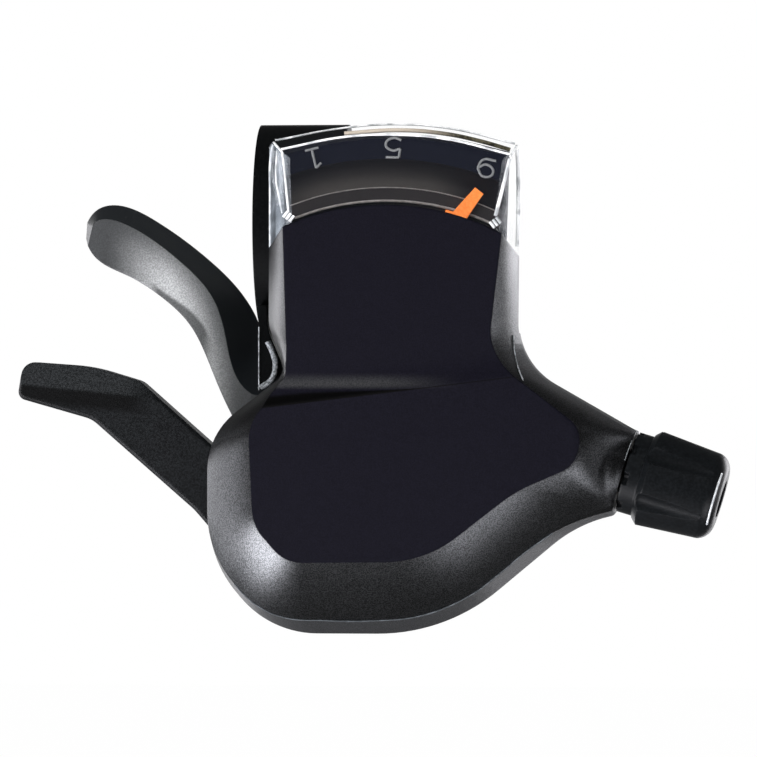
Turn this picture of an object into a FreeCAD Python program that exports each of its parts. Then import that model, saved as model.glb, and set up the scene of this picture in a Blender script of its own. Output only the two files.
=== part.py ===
import FreeCAD, Part
import math
import os
import re
import Sketcher
from FreeCAD import Placement, Rotation, Vector

# A right-hand trigger shifter with a gear indicator, for a round handlebar.
# The origin is the centre of the handlebar bore. X runs along the bar, Z up the neck,
# and the cover faces -Y. Flat outlines are given across (X) and up (Z) from the main axle.

SIZES = (
    # handlebar clamp
    ("bar_diameter", 22.2),
    ("clamp_wall", 3.4),
    ("clamp_width", 12.4),
    ("clamp_slot", 2.0),
    ("web_left", -17.9),
    ("web_foot", 7.0),
    ("web_front", 4.0),
    ("lug_reach", 9.0),
    ("lug_thickness", 6.0),
    ("lug_width", 10.4),
    ("bolt_diameter", 5.0),
    ("bolt_head_diameter", 8.5),
    ("bolt_head_height", 4.8),
    ("bolt_socket", 4.0),
    ("clamp_nut_width", 8.0),
    ("clamp_nut_height", 3.6),
    # place of the main axle, and the layers stacked along it
    ("axle_across", 12.3),
    ("axle_drop", 31.7),
    ("axle_diameter", 4.0),
    ("axle_head_diameter", 6.4),
    ("axle_head_height", 1.0),
    ("running_gap", 0.05),
    ("layer_gap", 0.3),
    ("deck_sink", 0.5),
    ("deck_thickness", 2.5),
    ("dial_thickness", 1.5),
    ("needle_thickness", 0.9),
    ("gear_thickness", 1.5),
    ("drum_width", 6.0),
    ("ratchet_thickness", 1.5),
    ("spring_room", 1.0),
    ("bush_wall", 1.0),
    ("release_plate_thickness", 2.0),
    ("main_plate_thickness", 2.5),
    ("washer_diameter", 8.4),
    ("washer_thickness", 0.6),
    ("axle_nut_height", 3.0),
    ("axle_nut_width", 7.0),
    # cover, lens and rear cover
    ("cover_wall", 1.6),
    ("panel_wall", 1.9),
    ("head_room", 0.5),
    ("rim_set_back", 0.5),
    ("skirt_depth", 8.0),
    ("skirt_top", 16.7),
    ("fit_gap", 0.2),
    ("valley_depth", 1.0),
    ("valley_top", 12.0),
    ("valley_length", 3.4),
    ("valley_slant", 7.0),
    ("window_radius", 34.0),
    ("window_back_radius", 32.2),
    ("lens_wall", 0.9),
    ("rear_wall", 1.5),
    ("rear_room", 0.6),
    ("rear_inset", 5.0),
    ("rear_boss_inset", 2.5),
    ("rear_set_back", 1.7),
    ("opening_start", 126.0),
    ("opening_end", 213.0),
    ("opening_radius", 9.0),
    ("screw_diameter", 2.5),
    ("screw_head_diameter", 4.6),
    ("screw_head_height", 1.6),
    ("screw_post_wall", 1.0),
    ("screw_bite", 2.2),
    # dial
    ("dial_inner_radius", 33.2),
    ("dial_ledge_width", 1.2),
    ("dial_ledge_depth", 0.7),
    ("dial_rib_width", 1.9),
    ("dial_channel_width", 3.8),
    ("dial_rise", 1.4),
    ("dial_channel_depth", 1.2),
    # indicator gears and needle
    ("gear_module", 0.5),
    ("idler_angle", -120.0),
    ("idler_journal", 7.2),
    ("needle_angle", 73.7),
    ("needle_hub", 7.2),
    ("needle_arm_width", 3.0),
    ("pointer_base_radius", 34.2),
    ("pointer_tip_radius", 38.0),
    ("pointer_base_width", 2.2),
    ("pointer_tip_width", 1.4),
    ("pointer_lean", 22.0),
    # cable drum and ratchet
    ("cable_radius", 7.2),
    ("cable_groove", 1.8),
    ("drum_flange_radius", 9.0),
    ("ratchet_tip_radius", 10.5),
    ("ratchet_root_radius", 9.2),
    ("ratchet_teeth", 18.0),
    ("ratchet_hub", 5.0),
    ("tooth_face_angle", 99.0),
    # pawls
    ("pawl_pin_diameter", 2.0),
    ("pawl_pin_radius", 14.9),
    ("pawl_pin_lag", 42.5),
    ("pawl_clearance", 0.3),
    ("pawl_eye", 2.4),
    ("pawl_back", 2.28),
    ("pawl_belly", 1.32),
    ("pawl_nose_lag", 1.0),
    ("pawl_nose_span", 5.0),
    # levers
    ("lever_hub_radius", 7.0),
    ("main_arm_angle", 153.0),
    ("main_arm_length", 18.5),
    ("main_arm_width", 6.0),
    ("pawl_arm_width", 5.0),
    ("release_arm_angle", 186.0),
    ("release_arm_length", 29.0),
    ("release_arm_width", 8.0),
    ("release_pad_front", 3.0),
    ("release_pad_bevel", 0.5),
    ("release_pad_edge", 0.4),
    ("release_pad_tilt", 24.0),
    # barrel adjuster
    ("barrel_tilt", 16.5),
    ("barrel_lift", 7.0),
    ("boss_start", 14.5),
    ("boss_reach", 32.0),
    ("boss_radius", 5.7),
    ("boss_root_radius", 8.0),
    ("boss_tube_radius", 4.4),
    ("adjuster_screw_diameter", 6.0),
    ("adjuster_screw_length", 17.0),
    ("cable_hole", 1.8),
    ("knob_gap", 0.3),
    ("knob_collar_radius", 5.6),
    ("knob_collar_length", 2.2),
    ("knob_radius", 6.7),
    ("knob_tip_radius", 6.0),
    ("knob_length", 11.2),
    ("knob_edge", 2.2),
    ("knob_shoulder", 0.8),
    ("knob_lobes", 6.0),
    ("knob_phase", 51.0),
    ("knob_groove_radius", 1.7),
    ("knob_groove_depth", 0.8),
    ("knob_clicks", 8.0),
    ("knob_click_radius", 0.8),
    ("knob_click_depth", 0.7),
    ("housing_socket", 5.2),
    ("housing_socket_depth", 8.0),
    # spring wire
    ("spring_wire", 0.8),
    ("main_spring_radius", 6.6),
    ("main_spring_turns", 2.0),
    ("main_spring_pitch", 1.04),
    ("release_spring_turns", 2.0),
    ("release_spring_pitch", 1.28),
    ("pawl_spring_height", 1.0),
    ("pawl_spring_leg_length", 5.8),
)

# The cover's rim, clockwise from the head, and the panel on its front. Each row names a corner and gives
# its place across and up, its radius, the flare of the skirt on the side that starts there, and the
# panel corner's move (across and up) and radius. The boss corners are past the boss's end and aside of it.
RIM = (
    ("head_left", -16.0, 42.6, 1.0, 0.0, 2.4, -1.8, 0.6),
    ("head_peak", 0.7, 46.8, 53.0, 0.0, 0.0, -2.4, 44.0),
    ("head_right", 18.1, 42.4, 1.0, 0.0, -1.3, -2.1, 0.6),
    ("crook", 17.8, 12.3, 10.0, 0.3, -4.6, 1.7, 6.0),
    ("boss_top", 0.4, 5.2, 0.8, 0.0, -7.8, -1.3, 3.7),
    ("boss_foot", 0.4, -5.2, 0.8, 1.0, -7.5, 4.1, 3.7),
    ("flank", 23.6, -9.0, 25.0, 1.9, -6.1, 4.4, 20.0),
    ("keel_right", 7.6, -22.4, 24.0, 2.4, -2.1, 8.4, 16.0),
    ("keel_left", -16.7, -22.4, 12.0, 1.5, 3.5, 8.2, 5.0),
    ("cheek", -24.5, -13.0, 15.0, 0.7, 6.9, 3.8, 6.0),
    ("brow", -24.5, 2.9, 10.0, 0.3, 6.3, 1.3, 6.0),
    ("waist", -13.5, 11.4, 2.6, 0.0, 0.4, -0.6, 1.8),
    ("hip", -16.1, 17.5, 6.0, 0.0, 3.4, -2.5, 4.0),
)
RIM_FIELDS = ("x", "z", "radius", "flare", "panel_x", "panel_z", "panel_radius")

# The corners round the neck alone, and those whose sides bound the cable boss.
HEAD = ("head_left", "head_peak", "head_right", "crook", "hip")
BOSS = ("crook", "boss_top", "boss_foot")

# Two screw posts that hold the covers and the deck together.
POSTS = (("left_post", -15.3, -15.3), ("right_post", 19.0, -6.6))

# Outline of the finger lever's pad, from its tip along the top: across, up, corner radius.
RELEASE_PAD = (
    ("tip_top", -51.6, 12.9, 1.8),
    ("brow_top", -42.0, 12.2, 24.0),
    ("knee_top", -35.1, 10.1, 3.0),
    ("root_top", -22.8, -0.8, 0.6),
    ("root_foot", -22.8, -13.2, 0.6),
    ("heel_foot", -27.5, -7.8, 8.0),
    ("knee_foot", -41.9, 4.8, 4.0),
    ("tip_foot", -52.4, 7.8, 1.2),
)

# The crease across the pad's front, above which it leans back: across, up.
PAD_CREASE = (("crease_tip", -51.5, 9.6), ("crease_end", -34.9, 7.9))

# Sections of the thumb lever's paddle from its root to its tip. Each gives the crease, the far upper
# edge, the far lower edge and the near lower edge, as across, along Y behind the lever plate, and up.
PADDLE = (
    ("root", ((-12.6, 0.0, 10.6), (-12.2, 5.4, 11.4), (-15.6, 5.4, 4.6), (-15.8, 0.0, 4.2))),
    ("neck", ((-21.3, 0.4, 9.4), (-18.6, 6.6, 15.6), (-21.9, 5.6, 8.6), (-22.9, 0.4, 5.6))),
    ("bend", ((-24.0, 2.9, 16.4), (-19.9, 9.4, 18.6), (-25.2, 7.0, 14.8), (-26.8, 2.9, 13.9))),
    ("elbow", ((-26.4, 6.9, 22.2), (-23.0, 13.4, 23.2), (-28.3, 10.6, 19.0), (-29.6, 6.9, 18.3))),
    ("blade", ((-31.0, 11.2, 27.0), (-28.6, 17.4, 28.4), (-32.6, 14.6, 22.6), (-33.7, 11.2, 21.9))),
    ("thumb", ((-37.2, 13.0, 31.6), (-35.6, 19.4, 33.4), (-38.2, 16.4, 26.3), (-39.1, 13.0, 25.3))),
    ("tip", ((-43.0, 13.6, 33.7), (-43.2, 19.8, 36.0), (-43.8, 17.0, 28.4), (-43.6, 13.6, 27.6))),
    ("end", ((-44.7, 13.9, 32.6), (-46.1, 18.5, 33.4), (-46.0, 16.5, 31.0), (-45.3, 13.9, 29.8))),
)

PADDLE_SPOTS = ("crease", "top", "foot", "edge")

# Distances from the bar's axis to each layer, front to back.
RING_RADIUS = "(bar_diameter / 2 + clamp_wall)"
DECK_BACK = f"(deck_sink - {RING_RADIUS})"
DECK_FRONT = f"({DECK_BACK} - deck_thickness)"
NEEDLE_BACK = f"({DECK_FRONT} - dial_thickness - layer_gap)"
NEEDLE_FRONT = f"({NEEDLE_BACK} - needle_thickness)"
AXLE_HEAD_BACK = f"({NEEDLE_FRONT} - layer_gap)"
AXLE_FRONT = f"({AXLE_HEAD_BACK} - axle_head_height)"
COVER_INSIDE = f"({AXLE_FRONT} - head_room)"
PANEL = f"({COVER_INSIDE} - panel_wall)"
RIM_LEVEL = f"({DECK_FRONT} + rim_set_back)"
LIP = f"({RIM_LEVEL} + skirt_depth)"
NECK_BACK = f"(-{RING_RADIUS} - layer_gap)"
GEAR_FRONT = f"({DECK_BACK} + layer_gap)"
DRUM_FRONT = f"({GEAR_FRONT} + gear_thickness)"
DRUM_BACK = f"({DRUM_FRONT} + drum_width)"
CABLE_LEVEL = f"({DRUM_FRONT} + drum_width / 2)"
RATCHET_BACK = f"({DRUM_BACK} + ratchet_thickness)"
BUSH_FRONT = f"({RATCHET_BACK} + layer_gap)"
RELEASE_FRONT = f"({BUSH_FRONT} + spring_room + layer_gap)"
RELEASE_BACK = f"({RELEASE_FRONT} + release_plate_thickness)"
MAIN_FRONT = f"({RELEASE_BACK} + layer_gap)"
MAIN_BACK = f"({MAIN_FRONT} + main_plate_thickness)"
WASHER_FRONT = f"({MAIN_BACK} + running_gap)"
NUT_FRONT = f"({WASHER_FRONT} + washer_thickness)"
NUT_BACK = f"({NUT_FRONT} + axle_nut_height)"
REAR_INSIDE = f"({NUT_BACK} + rear_room)"
REAR_BACK = f"({REAR_INSIDE} + rear_wall)"
LUG_BACK = f"({RING_RADIUS} + lug_reach)"
BOLT_Y = f"({RING_RADIUS} + lug_reach / 2)"
LUG_TOP = "(clamp_slot / 2 + lug_thickness)"

doc = FreeCAD.newDocument("gear_shifter")
sheet = doc.addObject("Spreadsheet::Sheet", "sizes")


def fill_sheet():
    """Write every driving dimension to the sheet, with its name as the cell's alias."""
    rows = list(SIZES)
    for name, *numbers in RIM:
        rows += [(f"{name}_{field}", number) for field, number in zip(RIM_FIELDS, numbers)]
    for name, across, up in POSTS:
        rows += [(f"{name}_x", across), (f"{name}_z", up)]
    for name, across, up, radius in RELEASE_PAD:
        rows += [(f"pad_{name}_x", across), (f"pad_{name}_z", up), (f"pad_{name}_radius", radius)]
    for name, across, up in PAD_CREASE:
        rows += [(f"pad_{name}_x", across), (f"pad_{name}_z", up)]
    for name, spots in PADDLE:
        for spot, numbers in zip(PADDLE_SPOTS, spots):
            rows += [(f"paddle_{name}_{spot}_{field}", number) for field, number in zip("xyz", numbers)]
    for number, (name, amount) in enumerate(rows, start=1):
        sheet.set(f"A{number}", name)
        sheet.set(f"B{number}", str(amount))
        sheet.setAlias(f"B{number}", name)
    doc.recompute()


fill_sheet()

SIZE_NAME = re.compile(r"[a-z][a-z_]*")
FUNCTIONS = ("sin", "cos", "tan", "sqrt")


def bound(text):
    """Turn plain size names in an expression into references to the sheet."""
    return SIZE_NAME.sub(lambda word: word[0] if word[0] in FUNCTIONS else "sizes." + word[0], text)


def value(text):
    """The number that an expression of size names gives now."""
    return float(sheet.evalExpression(bound(text)))


AXLE_X = value("axle_across")
AXLE_Z = value("-axle_drop")
Y_AXIS = Vector(0, 1, 0)

# The most of a side that the arcs at its two ends may take up.
ARC_SHARE = 0.98


# Helpers for document objects whose sizes are bound to the sheet

def place(item, across, along, up, rotation=Rotation()):
    """Bind an object's position to expressions of size names."""
    item.Placement = Placement(Vector(), rotation)
    for letter, text in zip("xyz", (across, along, up)):
        item.setExpression(f"Placement.Base.{letter}", bound(text))


def sketch_on(body, role, corners):
    """A closed polygon on one of the body's origin planes, each corner bound to the sheet."""
    plane = next(item for item in body.Origin.OriginFeatures if item.Role == role)
    sketch = body.newObject("Sketcher::SketchObject", body.Name + "_outline")
    sketch.AttachmentSupport = [(plane, "")]
    sketch.MapMode = "FlatFace"
    spots = [Vector(value(first), value(second), 0) for first, second in corners]
    count = len(spots)
    for index in range(count):
        sketch.addGeometry(Part.LineSegment(spots[index], spots[(index + 1) % count]), False)
    for index in range(count):
        sketch.addConstraint(Sketcher.Constraint("Coincident", index, 2, (index + 1) % count, 1))
    for index, texts in enumerate(corners):
        for kind, text in zip(("DistanceX", "DistanceY"), texts):
            number = sketch.addConstraint(Sketcher.Constraint(kind, -1, 1, index, 1, value(text)))
            sketch.setExpression(f"Constraints[{number}]", bound(text))
    return sketch


def turned(label, profile, role="XY_Plane"):
    """A body turned from a closed profile of (radius, along) corners, about Y or, on XZ_Plane, Z."""
    body = doc.addObject("PartDesign::Body", label)
    sketch = sketch_on(body, role, profile)
    turn = body.newObject("PartDesign::Revolution", label + "_turn")
    turn.Profile = sketch
    turn.ReferenceAxis = (sketch, ["V_Axis"])
    turn.Angle = 360
    return body


def tube(inner, outer, start, end):
    """The profile of a plain tube, for turned()."""
    return [(inner, start), (outer, start), (outer, end), (inner, end)]


def feature(label, shape):
    """A piece whose shape is worked out from the sheet with Part's own functions."""
    item = doc.addObject("Part::Feature", label)
    item.Shape = shape
    return item


# Helpers for shapes worked out from the sheet

def from_axle(across, up):
    """A place across and up from the axle, in the part's own frame."""
    return AXLE_X + across, AXLE_Z + up


def polar(radius, degrees):
    """A place round the axle, as across and up."""
    return radius * math.cos(math.radians(degrees)), radius * math.sin(math.radians(degrees))


def moved_sides(corners, moves):
    """Move each side of a clockwise corner list outwards by its own distance."""
    count = len(corners)
    lines = []
    for index, (x, z, radius) in enumerate(corners):
        next_x, next_z, next_radius = corners[(index + 1) % count]
        length = math.hypot(next_x - x, next_z - z)
        along = ((next_x - x) / length, (next_z - z) / length)
        lines.append(((x - along[1] * moves[index], z + along[0] * moves[index]), along))
    result = []
    for index, (x, z, radius) in enumerate(corners):
        (first, first_along), (second, second_along) = lines[index - 1], lines[index]
        cross = first_along[0] * second_along[1] - first_along[1] * second_along[0]
        reach = ((second[0] - first[0]) * second_along[1] - (second[1] - first[1]) * second_along[0]) / cross
        grow = (moves[index - 1] + moves[index]) / 2
        rounded_by = radius + grow if cross < 0 else radius - grow
        floor = min(radius, value("fit_gap"))
        spot = (first[0] + first_along[0] * reach, first[1] + first_along[1] * reach)
        result.append((*spot, max(rounded_by, floor)))
    return result


def inset(corners, distance):
    """The same outline with every side moved inwards."""
    return moved_sides(corners, [-distance] * len(corners))


def arc_reach(corners, index):
    """How much of its two sides a corner's arc takes up."""
    near = [Vector(*corners[spot % len(corners)][:2], 0) for spot in (index - 1, index, index + 1)]
    return corners[index][2] / math.tan((near[0] - near[1]).getAngle(near[2] - near[1]) / 2)


def fitted(corners):
    """The same corners, with smaller radii where two arcs would not fit on the side between them."""
    count = len(corners)
    reaches = [arc_reach(corners, index) for index in range(count)]
    room = []
    for index in range(count):
        (x, z, radius), (next_x, next_z, next_radius) = corners[index], corners[(index + 1) % count]
        need = reaches[index] + reaches[(index + 1) % count]
        length = ARC_SHARE * math.hypot(next_x - x, next_z - z)
        room.append(length / need if need > length else 1)
    shares = [min(room[index - 1], room[index]) for index in range(count)]
    return [(x, z, radius * share) for (x, z, radius), share in zip(corners, shares)]


def rounded(corners, along):
    """A closed wire at one level from (across, up, radius) corners: lines joined by tangent arcs."""
    corners = fitted(corners)
    count = len(corners)
    spots = []
    for index, (x, z, radius) in enumerate(corners):
        here = Vector(*place_at(x, along, z))
        before = Vector(*place_at(corners[index - 1][0], along, corners[index - 1][1])) - here
        after_x, after_z, after_radius = corners[(index + 1) % count]
        after = Vector(*place_at(after_x, along, after_z)) - here
        before.normalize()
        after.normalize()
        half = before.getAngle(after) / 2
        cut_back = radius / math.tan(half)
        middle = (before + after).normalize() * (radius / math.sin(half) - radius)
        spots.append((here + before * cut_back, here + middle, here + after * cut_back))
    edges = []
    for index, (start, middle, end) in enumerate(spots):
        if corners[index][2] > 0:
            edges.append(Part.Arc(start, middle, end).toShape())
        edges.append(Part.LineSegment(end, spots[(index + 1) % count][0]).toShape())
    return Part.Wire(edges)


def place_at(across, along, up):
    """A point from across and up of the axle, at a level along Y."""
    x, z = from_axle(across, up)
    return x, along, z


def prism(corners, start, end):
    """A solid of one rounded outline between two levels along Y."""
    return Part.Face(rounded(corners, start)).extrude(Vector(0, end - start, 0))


def blend(first, first_level, second, second_level):
    """A solid with straight sides between two rounded outlines with as many corners."""
    wires = [rounded(first, first_level), rounded(second, second_level)]
    return Part.makeLoft(wires, True, True)


def disc(radius, start, end, across=0.0, up=0.0):
    """A solid cylinder along Y, placed across and up from the axle."""
    return Part.makeCylinder(radius, end - start, Vector(*place_at(across, start, up)), Y_AXIS)


def block(low, high):
    """A box between two corners."""
    size = Vector(*high) - Vector(*low)
    return Part.makeBox(size.x, size.y, size.z, Vector(*low))


def spun(shape, degrees):
    """A shape turned round the main axle, anticlockwise as seen from the front."""
    copy = shape.copy()
    copy.rotate(Vector(AXLE_X, 0, AXLE_Z), Vector(0, -1, 0), degrees)
    return copy


# The cover's outlines

BARREL_ANGLE = math.radians(value("barrel_tilt"))
BARREL_LIFT = math.radians(value("barrel_lift"))
BARREL_AXIS = Vector(
    math.cos(BARREL_LIFT) * math.cos(BARREL_ANGLE),
    -math.sin(BARREL_LIFT),
    -math.cos(BARREL_LIFT) * math.sin(BARREL_ANGLE),
)
BARREL_START = Vector(*place_at(
    value("cable_radius") * math.sin(BARREL_ANGLE),
    value(CABLE_LEVEL),
    value("cable_radius") * math.cos(BARREL_ANGLE),
))
BARREL_TURN = Rotation(Vector(0, 0, 1), BARREL_AXIS)


def on_barrel(distance):
    """A point on the barrel's axis, from where the cable leaves the drum."""
    return BARREL_START + BARREL_AXIS * distance


def beside_barrel(along, aside):
    """Across and up from the axle of a place along the barrel and aside of it."""
    spot = on_barrel(along)
    across = spot.x - AXLE_X + aside * math.sin(BARREL_ANGLE)
    return across, spot.z - AXLE_Z + aside * math.cos(BARREL_ANGLE)


def barrel_cylinder(radius, start, end):
    """A cylinder along the barrel's axis."""
    return Part.makeCylinder(radius, end - start, on_barrel(start), BARREL_AXIS)


def beyond_barrel(distance):
    """All the space further along the barrel than a square cut across it."""
    space = Part.makeBox(FAR, FAR, FAR, Vector(-FAR / 2, -FAR / 2, 0))
    space.Placement = Placement(on_barrel(distance), BARREL_TURN).multiply(space.Placement)
    return space


def rim_corners():
    """The outline of the bevel's outer edge."""
    corners = []
    for name in (row[0] for row in RIM):
        spot = (value(f"{name}_x"), value(f"{name}_z"))
        if name.startswith("boss"):
            spot = beside_barrel(spot[0] + value("boss_reach"), spot[1])
        corners.append((*spot, value(f"{name}_radius")))
    return corners


def panel_corners():
    """The outline of the flat front panel."""
    corners = []
    for name in (row[0] for row in RIM):
        spot = (value(f"{name}_x + {name}_panel_x"), value(f"{name}_z + {name}_panel_z"))
        if name.startswith("boss"):
            spot = beside_barrel(spot[0] + value("boss_reach"), spot[1])
        corners.append((*spot, value(f"{name}_panel_radius")))
    return corners


RIM_OUTLINE = rim_corners()
PANEL_OUTLINE = panel_corners()
LIP_OUTLINE = moved_sides(RIM_OUTLINE, [value(f"{row[0]}_flare") for row in RIM])
FAR = 4 * value("axle_drop + pad_tip_foot_x * -1")


def head_of(outline):
    """The part of a cover outline that goes round the neck, closed below it."""
    return [corner for row, corner in zip(RIM, outline) if row[0] in HEAD]


def bevelled_form(rim, panel):
    """The front as one solid: bevels from the rim to the panel, and the rim's own wall."""
    front = blend(rim, value(RIM_LEVEL), panel, value(PANEL))
    return front.fuse(prism(rim, value(RIM_LEVEL), value(NECK_BACK)))


def lens_zone():
    """The space in front of the dial, outside a cone round the axle."""
    start, end = value(PANEL) - 1, value(NECK_BACK) + 1
    slope = (value("window_radius - window_back_radius")) / (value(NECK_BACK) - value(PANEL))
    front_radius = value("window_radius") + slope
    back_radius = value("window_back_radius") - slope
    cone = Part.makeCone(front_radius, back_radius, end - start, Vector(AXLE_X, start, AXLE_Z), Y_AXIS)
    low = (AXLE_X - FAR, start, AXLE_Z + value("valley_top"))
    return block(low, (AXLE_X + FAR, end, AXLE_Z + FAR)).cut(cone)


def neck_valley():
    """What is cut from the front so that the neck's panel lies behind the pod's."""
    front = value(PANEL) - value("panel_wall")
    level = value(PANEL) + value("valley_depth")
    top = AXLE_Z + value("valley_top")
    foot = top - value("valley_length")
    foot_level = value(PANEL) - value("fit_gap")
    drop = level - foot_level
    radius = (value("valley_length") ** 2 + drop ** 2) / (2 * drop)
    half = math.asin(value("valley_length") / radius) / 2
    bend = (level - radius * (1 - math.cos(half)), top - radius * math.sin(half))
    start = Vector(AXLE_X - FAR, level, top)
    arc = Part.Arc(start, Vector(AXLE_X - FAR, *bend), Vector(AXLE_X - FAR, foot_level, foot))
    ring = [Vector(AXLE_X - FAR, foot_level, foot), Vector(AXLE_X - FAR, front, foot),
            Vector(AXLE_X - FAR, front, top + FAR), Vector(AXLE_X - FAR, level, top + FAR), start]
    sides = [Part.LineSegment(ring[index], ring[index + 1]).toShape() for index in range(len(ring) - 1)]
    shape = Part.Face(Part.Wire([arc.toShape()] + sides)).extrude(Vector(2 * FAR, 0, 0))
    shape.rotate(Vector(AXLE_X, 0, top), Vector(0, -1, 0), value("valley_slant"))
    return shape


def post_places():
    """Where the two screw posts stand, across and up from the axle."""
    return [(value(f"{name}_x"), value(f"{name}_z")) for name, across, up in POSTS]


SCREW_RADIUS = value("screw_diameter / 2")
POST_RADIUS = SCREW_RADIUS + value("running_gap + screw_post_wall")


def make_top_cover():
    """The moulded cover: bevelled front, flared skirt and cable boss, hollow behind."""
    lip, rim, inside = value(LIP), value(RIM_LEVEL), value(COVER_INSIDE)
    skirt = blend(LIP_OUTLINE, lip, RIM_OUTLINE, rim)
    top = AXLE_Z + value("skirt_top")
    skirt = skirt.common(block((-FAR, rim - FAR, top - FAR), (FAR, lip + FAR, top)))
    boss_start, boss_end = value("boss_start"), value("boss_reach")
    boss = Part.makeCone(value("boss_root_radius"), value("boss_radius"), boss_end - boss_start,
                         on_barrel(boss_start), BARREL_AXIS)
    boss = boss.common(block((-FAR, value(PANEL), -FAR), (FAR, lip, FAR)))
    outer = bevelled_form(RIM_OUTLINE, PANEL_OUTLINE).fuse([skirt, boss]).removeSplitter()
    wall = value("cover_wall")
    deck_back = value(DECK_BACK) + value("fit_gap")
    deck_room = prism(inset(RIM_OUTLINE, wall), value(DECK_FRONT) - value("fit_gap"), deck_back)
    works_room = prism(inset(RIM_OUTLINE, wall), value(DECK_BACK), lip + 1)
    works_room = works_room.common(block((-FAR, -FAR, top - FAR), (FAR, FAR, top - wall)))
    front_room = prism(inset(PANEL_OUTLINE, value("fit_gap")), inside, value(DECK_BACK))
    cavity = deck_room.fuse([works_room, front_room])
    deck = value(DECK_FRONT)
    bosses = [disc(POST_RADIUS, inside - value("fit_gap"), deck, *spot) for spot in post_places()]
    cavity = cavity.cut(Part.makeCompound(bosses))
    holes = [disc(SCREW_RADIUS, deck - value("screw_bite"), lip, *spot) for spot in post_places()]
    tube = value("boss_tube_radius")
    passage = barrel_cylinder(tube + value("fit_gap"), boss_start - tube, FAR)
    shell = outer.cut([cavity, lens_zone(), neck_valley(), beyond_barrel(boss_end), passage] + holes)
    return feature("top_cover", shell.removeSplitter())


def make_lens():
    """The clear window: the head of the same form as a thin shell."""
    wall = value("lens_wall")
    rim, panel = head_of(RIM_OUTLINE), head_of(PANEL_OUTLINE)
    hollow = blend(inset(rim, wall), value(RIM_LEVEL), inset(panel, wall), value(PANEL) + wall)
    hollow = hollow.fuse(prism(inset(rim, wall), value(RIM_LEVEL), value(NECK_BACK) + 1))
    shell = bevelled_form(rim, panel).common(lens_zone()).cut(hollow)
    return feature("indicator_lens", shell.removeSplitter())


# The bracket with its ring

def make_bracket():
    """The cast bracket: clamp ring with lugs, neck block, deck plate and the tube for the adjuster."""
    ring, bore, half = value(RING_RADIUS), value("bar_diameter / 2"), value("clamp_width / 2")
    axis = Vector(1, 0, 0)
    collar = Part.makeCylinder(ring, 2 * half, Vector(-half, 0, 0), axis)
    lug_half, lug_top = value("lug_width / 2"), value(LUG_TOP)
    lugs = block((-lug_half, 0, -lug_top), (lug_half, value(LUG_BACK), lug_top))
    neck = block((-half, value(DECK_FRONT), -bore), (half, -bore / 2, bore / 2))
    plate_inset = value("cover_wall + fit_gap")
    deck = prism(inset(RIM_OUTLINE, plate_inset), value(DECK_FRONT), value(DECK_BACK))
    neck = neck.common(prism(inset(RIM_OUTLINE, plate_inset), value(DECK_FRONT), value(LIP)).fuse(
        block((-half, -ring, -ring), (half, ring, ring)).common(collar)))
    web_front, web_back = value(RIM_LEVEL) + value("web_front"), value(LIP) - value("layer_gap")
    web = block(place_at(value("web_left"), web_front, value("web_foot")), (AXLE_X, web_back, -bore))
    cover_room = moved_sides(RIM_OUTLINE, [value("layer_gap + brow_flare")] * len(RIM))
    web = web.cut(prism(cover_room, web_front, web_back))
    tube_start, tube_end = value("boss_start"), value("boss_reach - knob_gap")
    boss = barrel_cylinder(value("boss_tube_radius"), tube_start, tube_end)
    solid = collar.fuse([lugs, neck, web, deck, boss])
    slot = value("clamp_slot / 2")
    bolt_radius = value("bolt_diameter / 2 + running_gap")
    bolt_base = Vector(0, value(BOLT_Y), -FAR)
    nut_half = value("clamp_nut_width / 2 + running_gap")
    nut_low = -lug_top - 1
    nut_room = block((-nut_half, value(BOLT_Y) - nut_half, nut_low),
                     (nut_half, value(BOLT_Y) + nut_half, value("clamp_nut_height") - lug_top))
    cuts = [
        Part.makeCylinder(bore, 4 * half, Vector(-2 * half, 0, 0), axis),
        block((-FAR, bore / 2, -slot), (FAR, FAR, slot)),
        Part.makeCylinder(bolt_radius, 2 * FAR, bolt_base),
        nut_room,
        barrel_cylinder(value("adjuster_screw_diameter / 2 + running_gap"), 0, FAR),
        disc(value("axle_diameter / 2"), -FAR, FAR),
        disc(value("idler_journal / 2 + running_gap"), -FAR, FAR, *idler_place()),
        disc(value("pawl_pin_diameter / 2"), value(DECK_FRONT), FAR, *pawl_pin_place(HOLD_TURN)),
    ]
    cuts += [disc(SCREW_RADIUS + value("running_gap"), -FAR, FAR, *spot) for spot in post_places()]
    return feature("clamp_bracket", solid.cut(cuts).removeSplitter())


def make_clamp_bolt():
    """Socket-head bolt that closes the clamp, along Z."""
    shank, head, socket = "bolt_diameter / 2", "bolt_head_diameter / 2", "bolt_socket / 2"
    head_top = f"{LUG_TOP} + bolt_head_height"
    foot = f"-{LUG_TOP}"
    profile = [("0", foot), (shank, foot), (shank, LUG_TOP), (head, LUG_TOP), (head, head_top),
               (socket, head_top), (socket, f"{head_top} - bolt_head_height / 2"),
               ("0", f"{head_top} - bolt_head_height / 2")]
    body = turned("clamp_bolt", profile, "XZ_Plane")
    place(body, "0", BOLT_Y, "0")
    return body


def make_clamp_nut():
    """Square nut let into the lower lug."""
    base = doc.addObject("Part::Box", "clamp_nut_blank")
    base.setExpression("Length", bound("clamp_nut_width"))
    base.setExpression("Width", bound("clamp_nut_width"))
    base.setExpression("Height", bound("clamp_nut_height"))
    place(base, "-clamp_nut_width / 2", f"{BOLT_Y} - clamp_nut_width / 2", f"-{LUG_TOP}")
    hole = doc.addObject("Part::Cylinder", "clamp_nut_hole")
    hole.setExpression("Radius", bound("bolt_diameter / 2"))
    hole.setExpression("Height", bound("clamp_nut_height"))
    place(hole, "0", BOLT_Y, f"-{LUG_TOP}")
    nut = doc.addObject("Part::Cut", "clamp_nut")
    nut.Base = base
    nut.Tool = hole
    return nut


# Rear cover and screws

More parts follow.
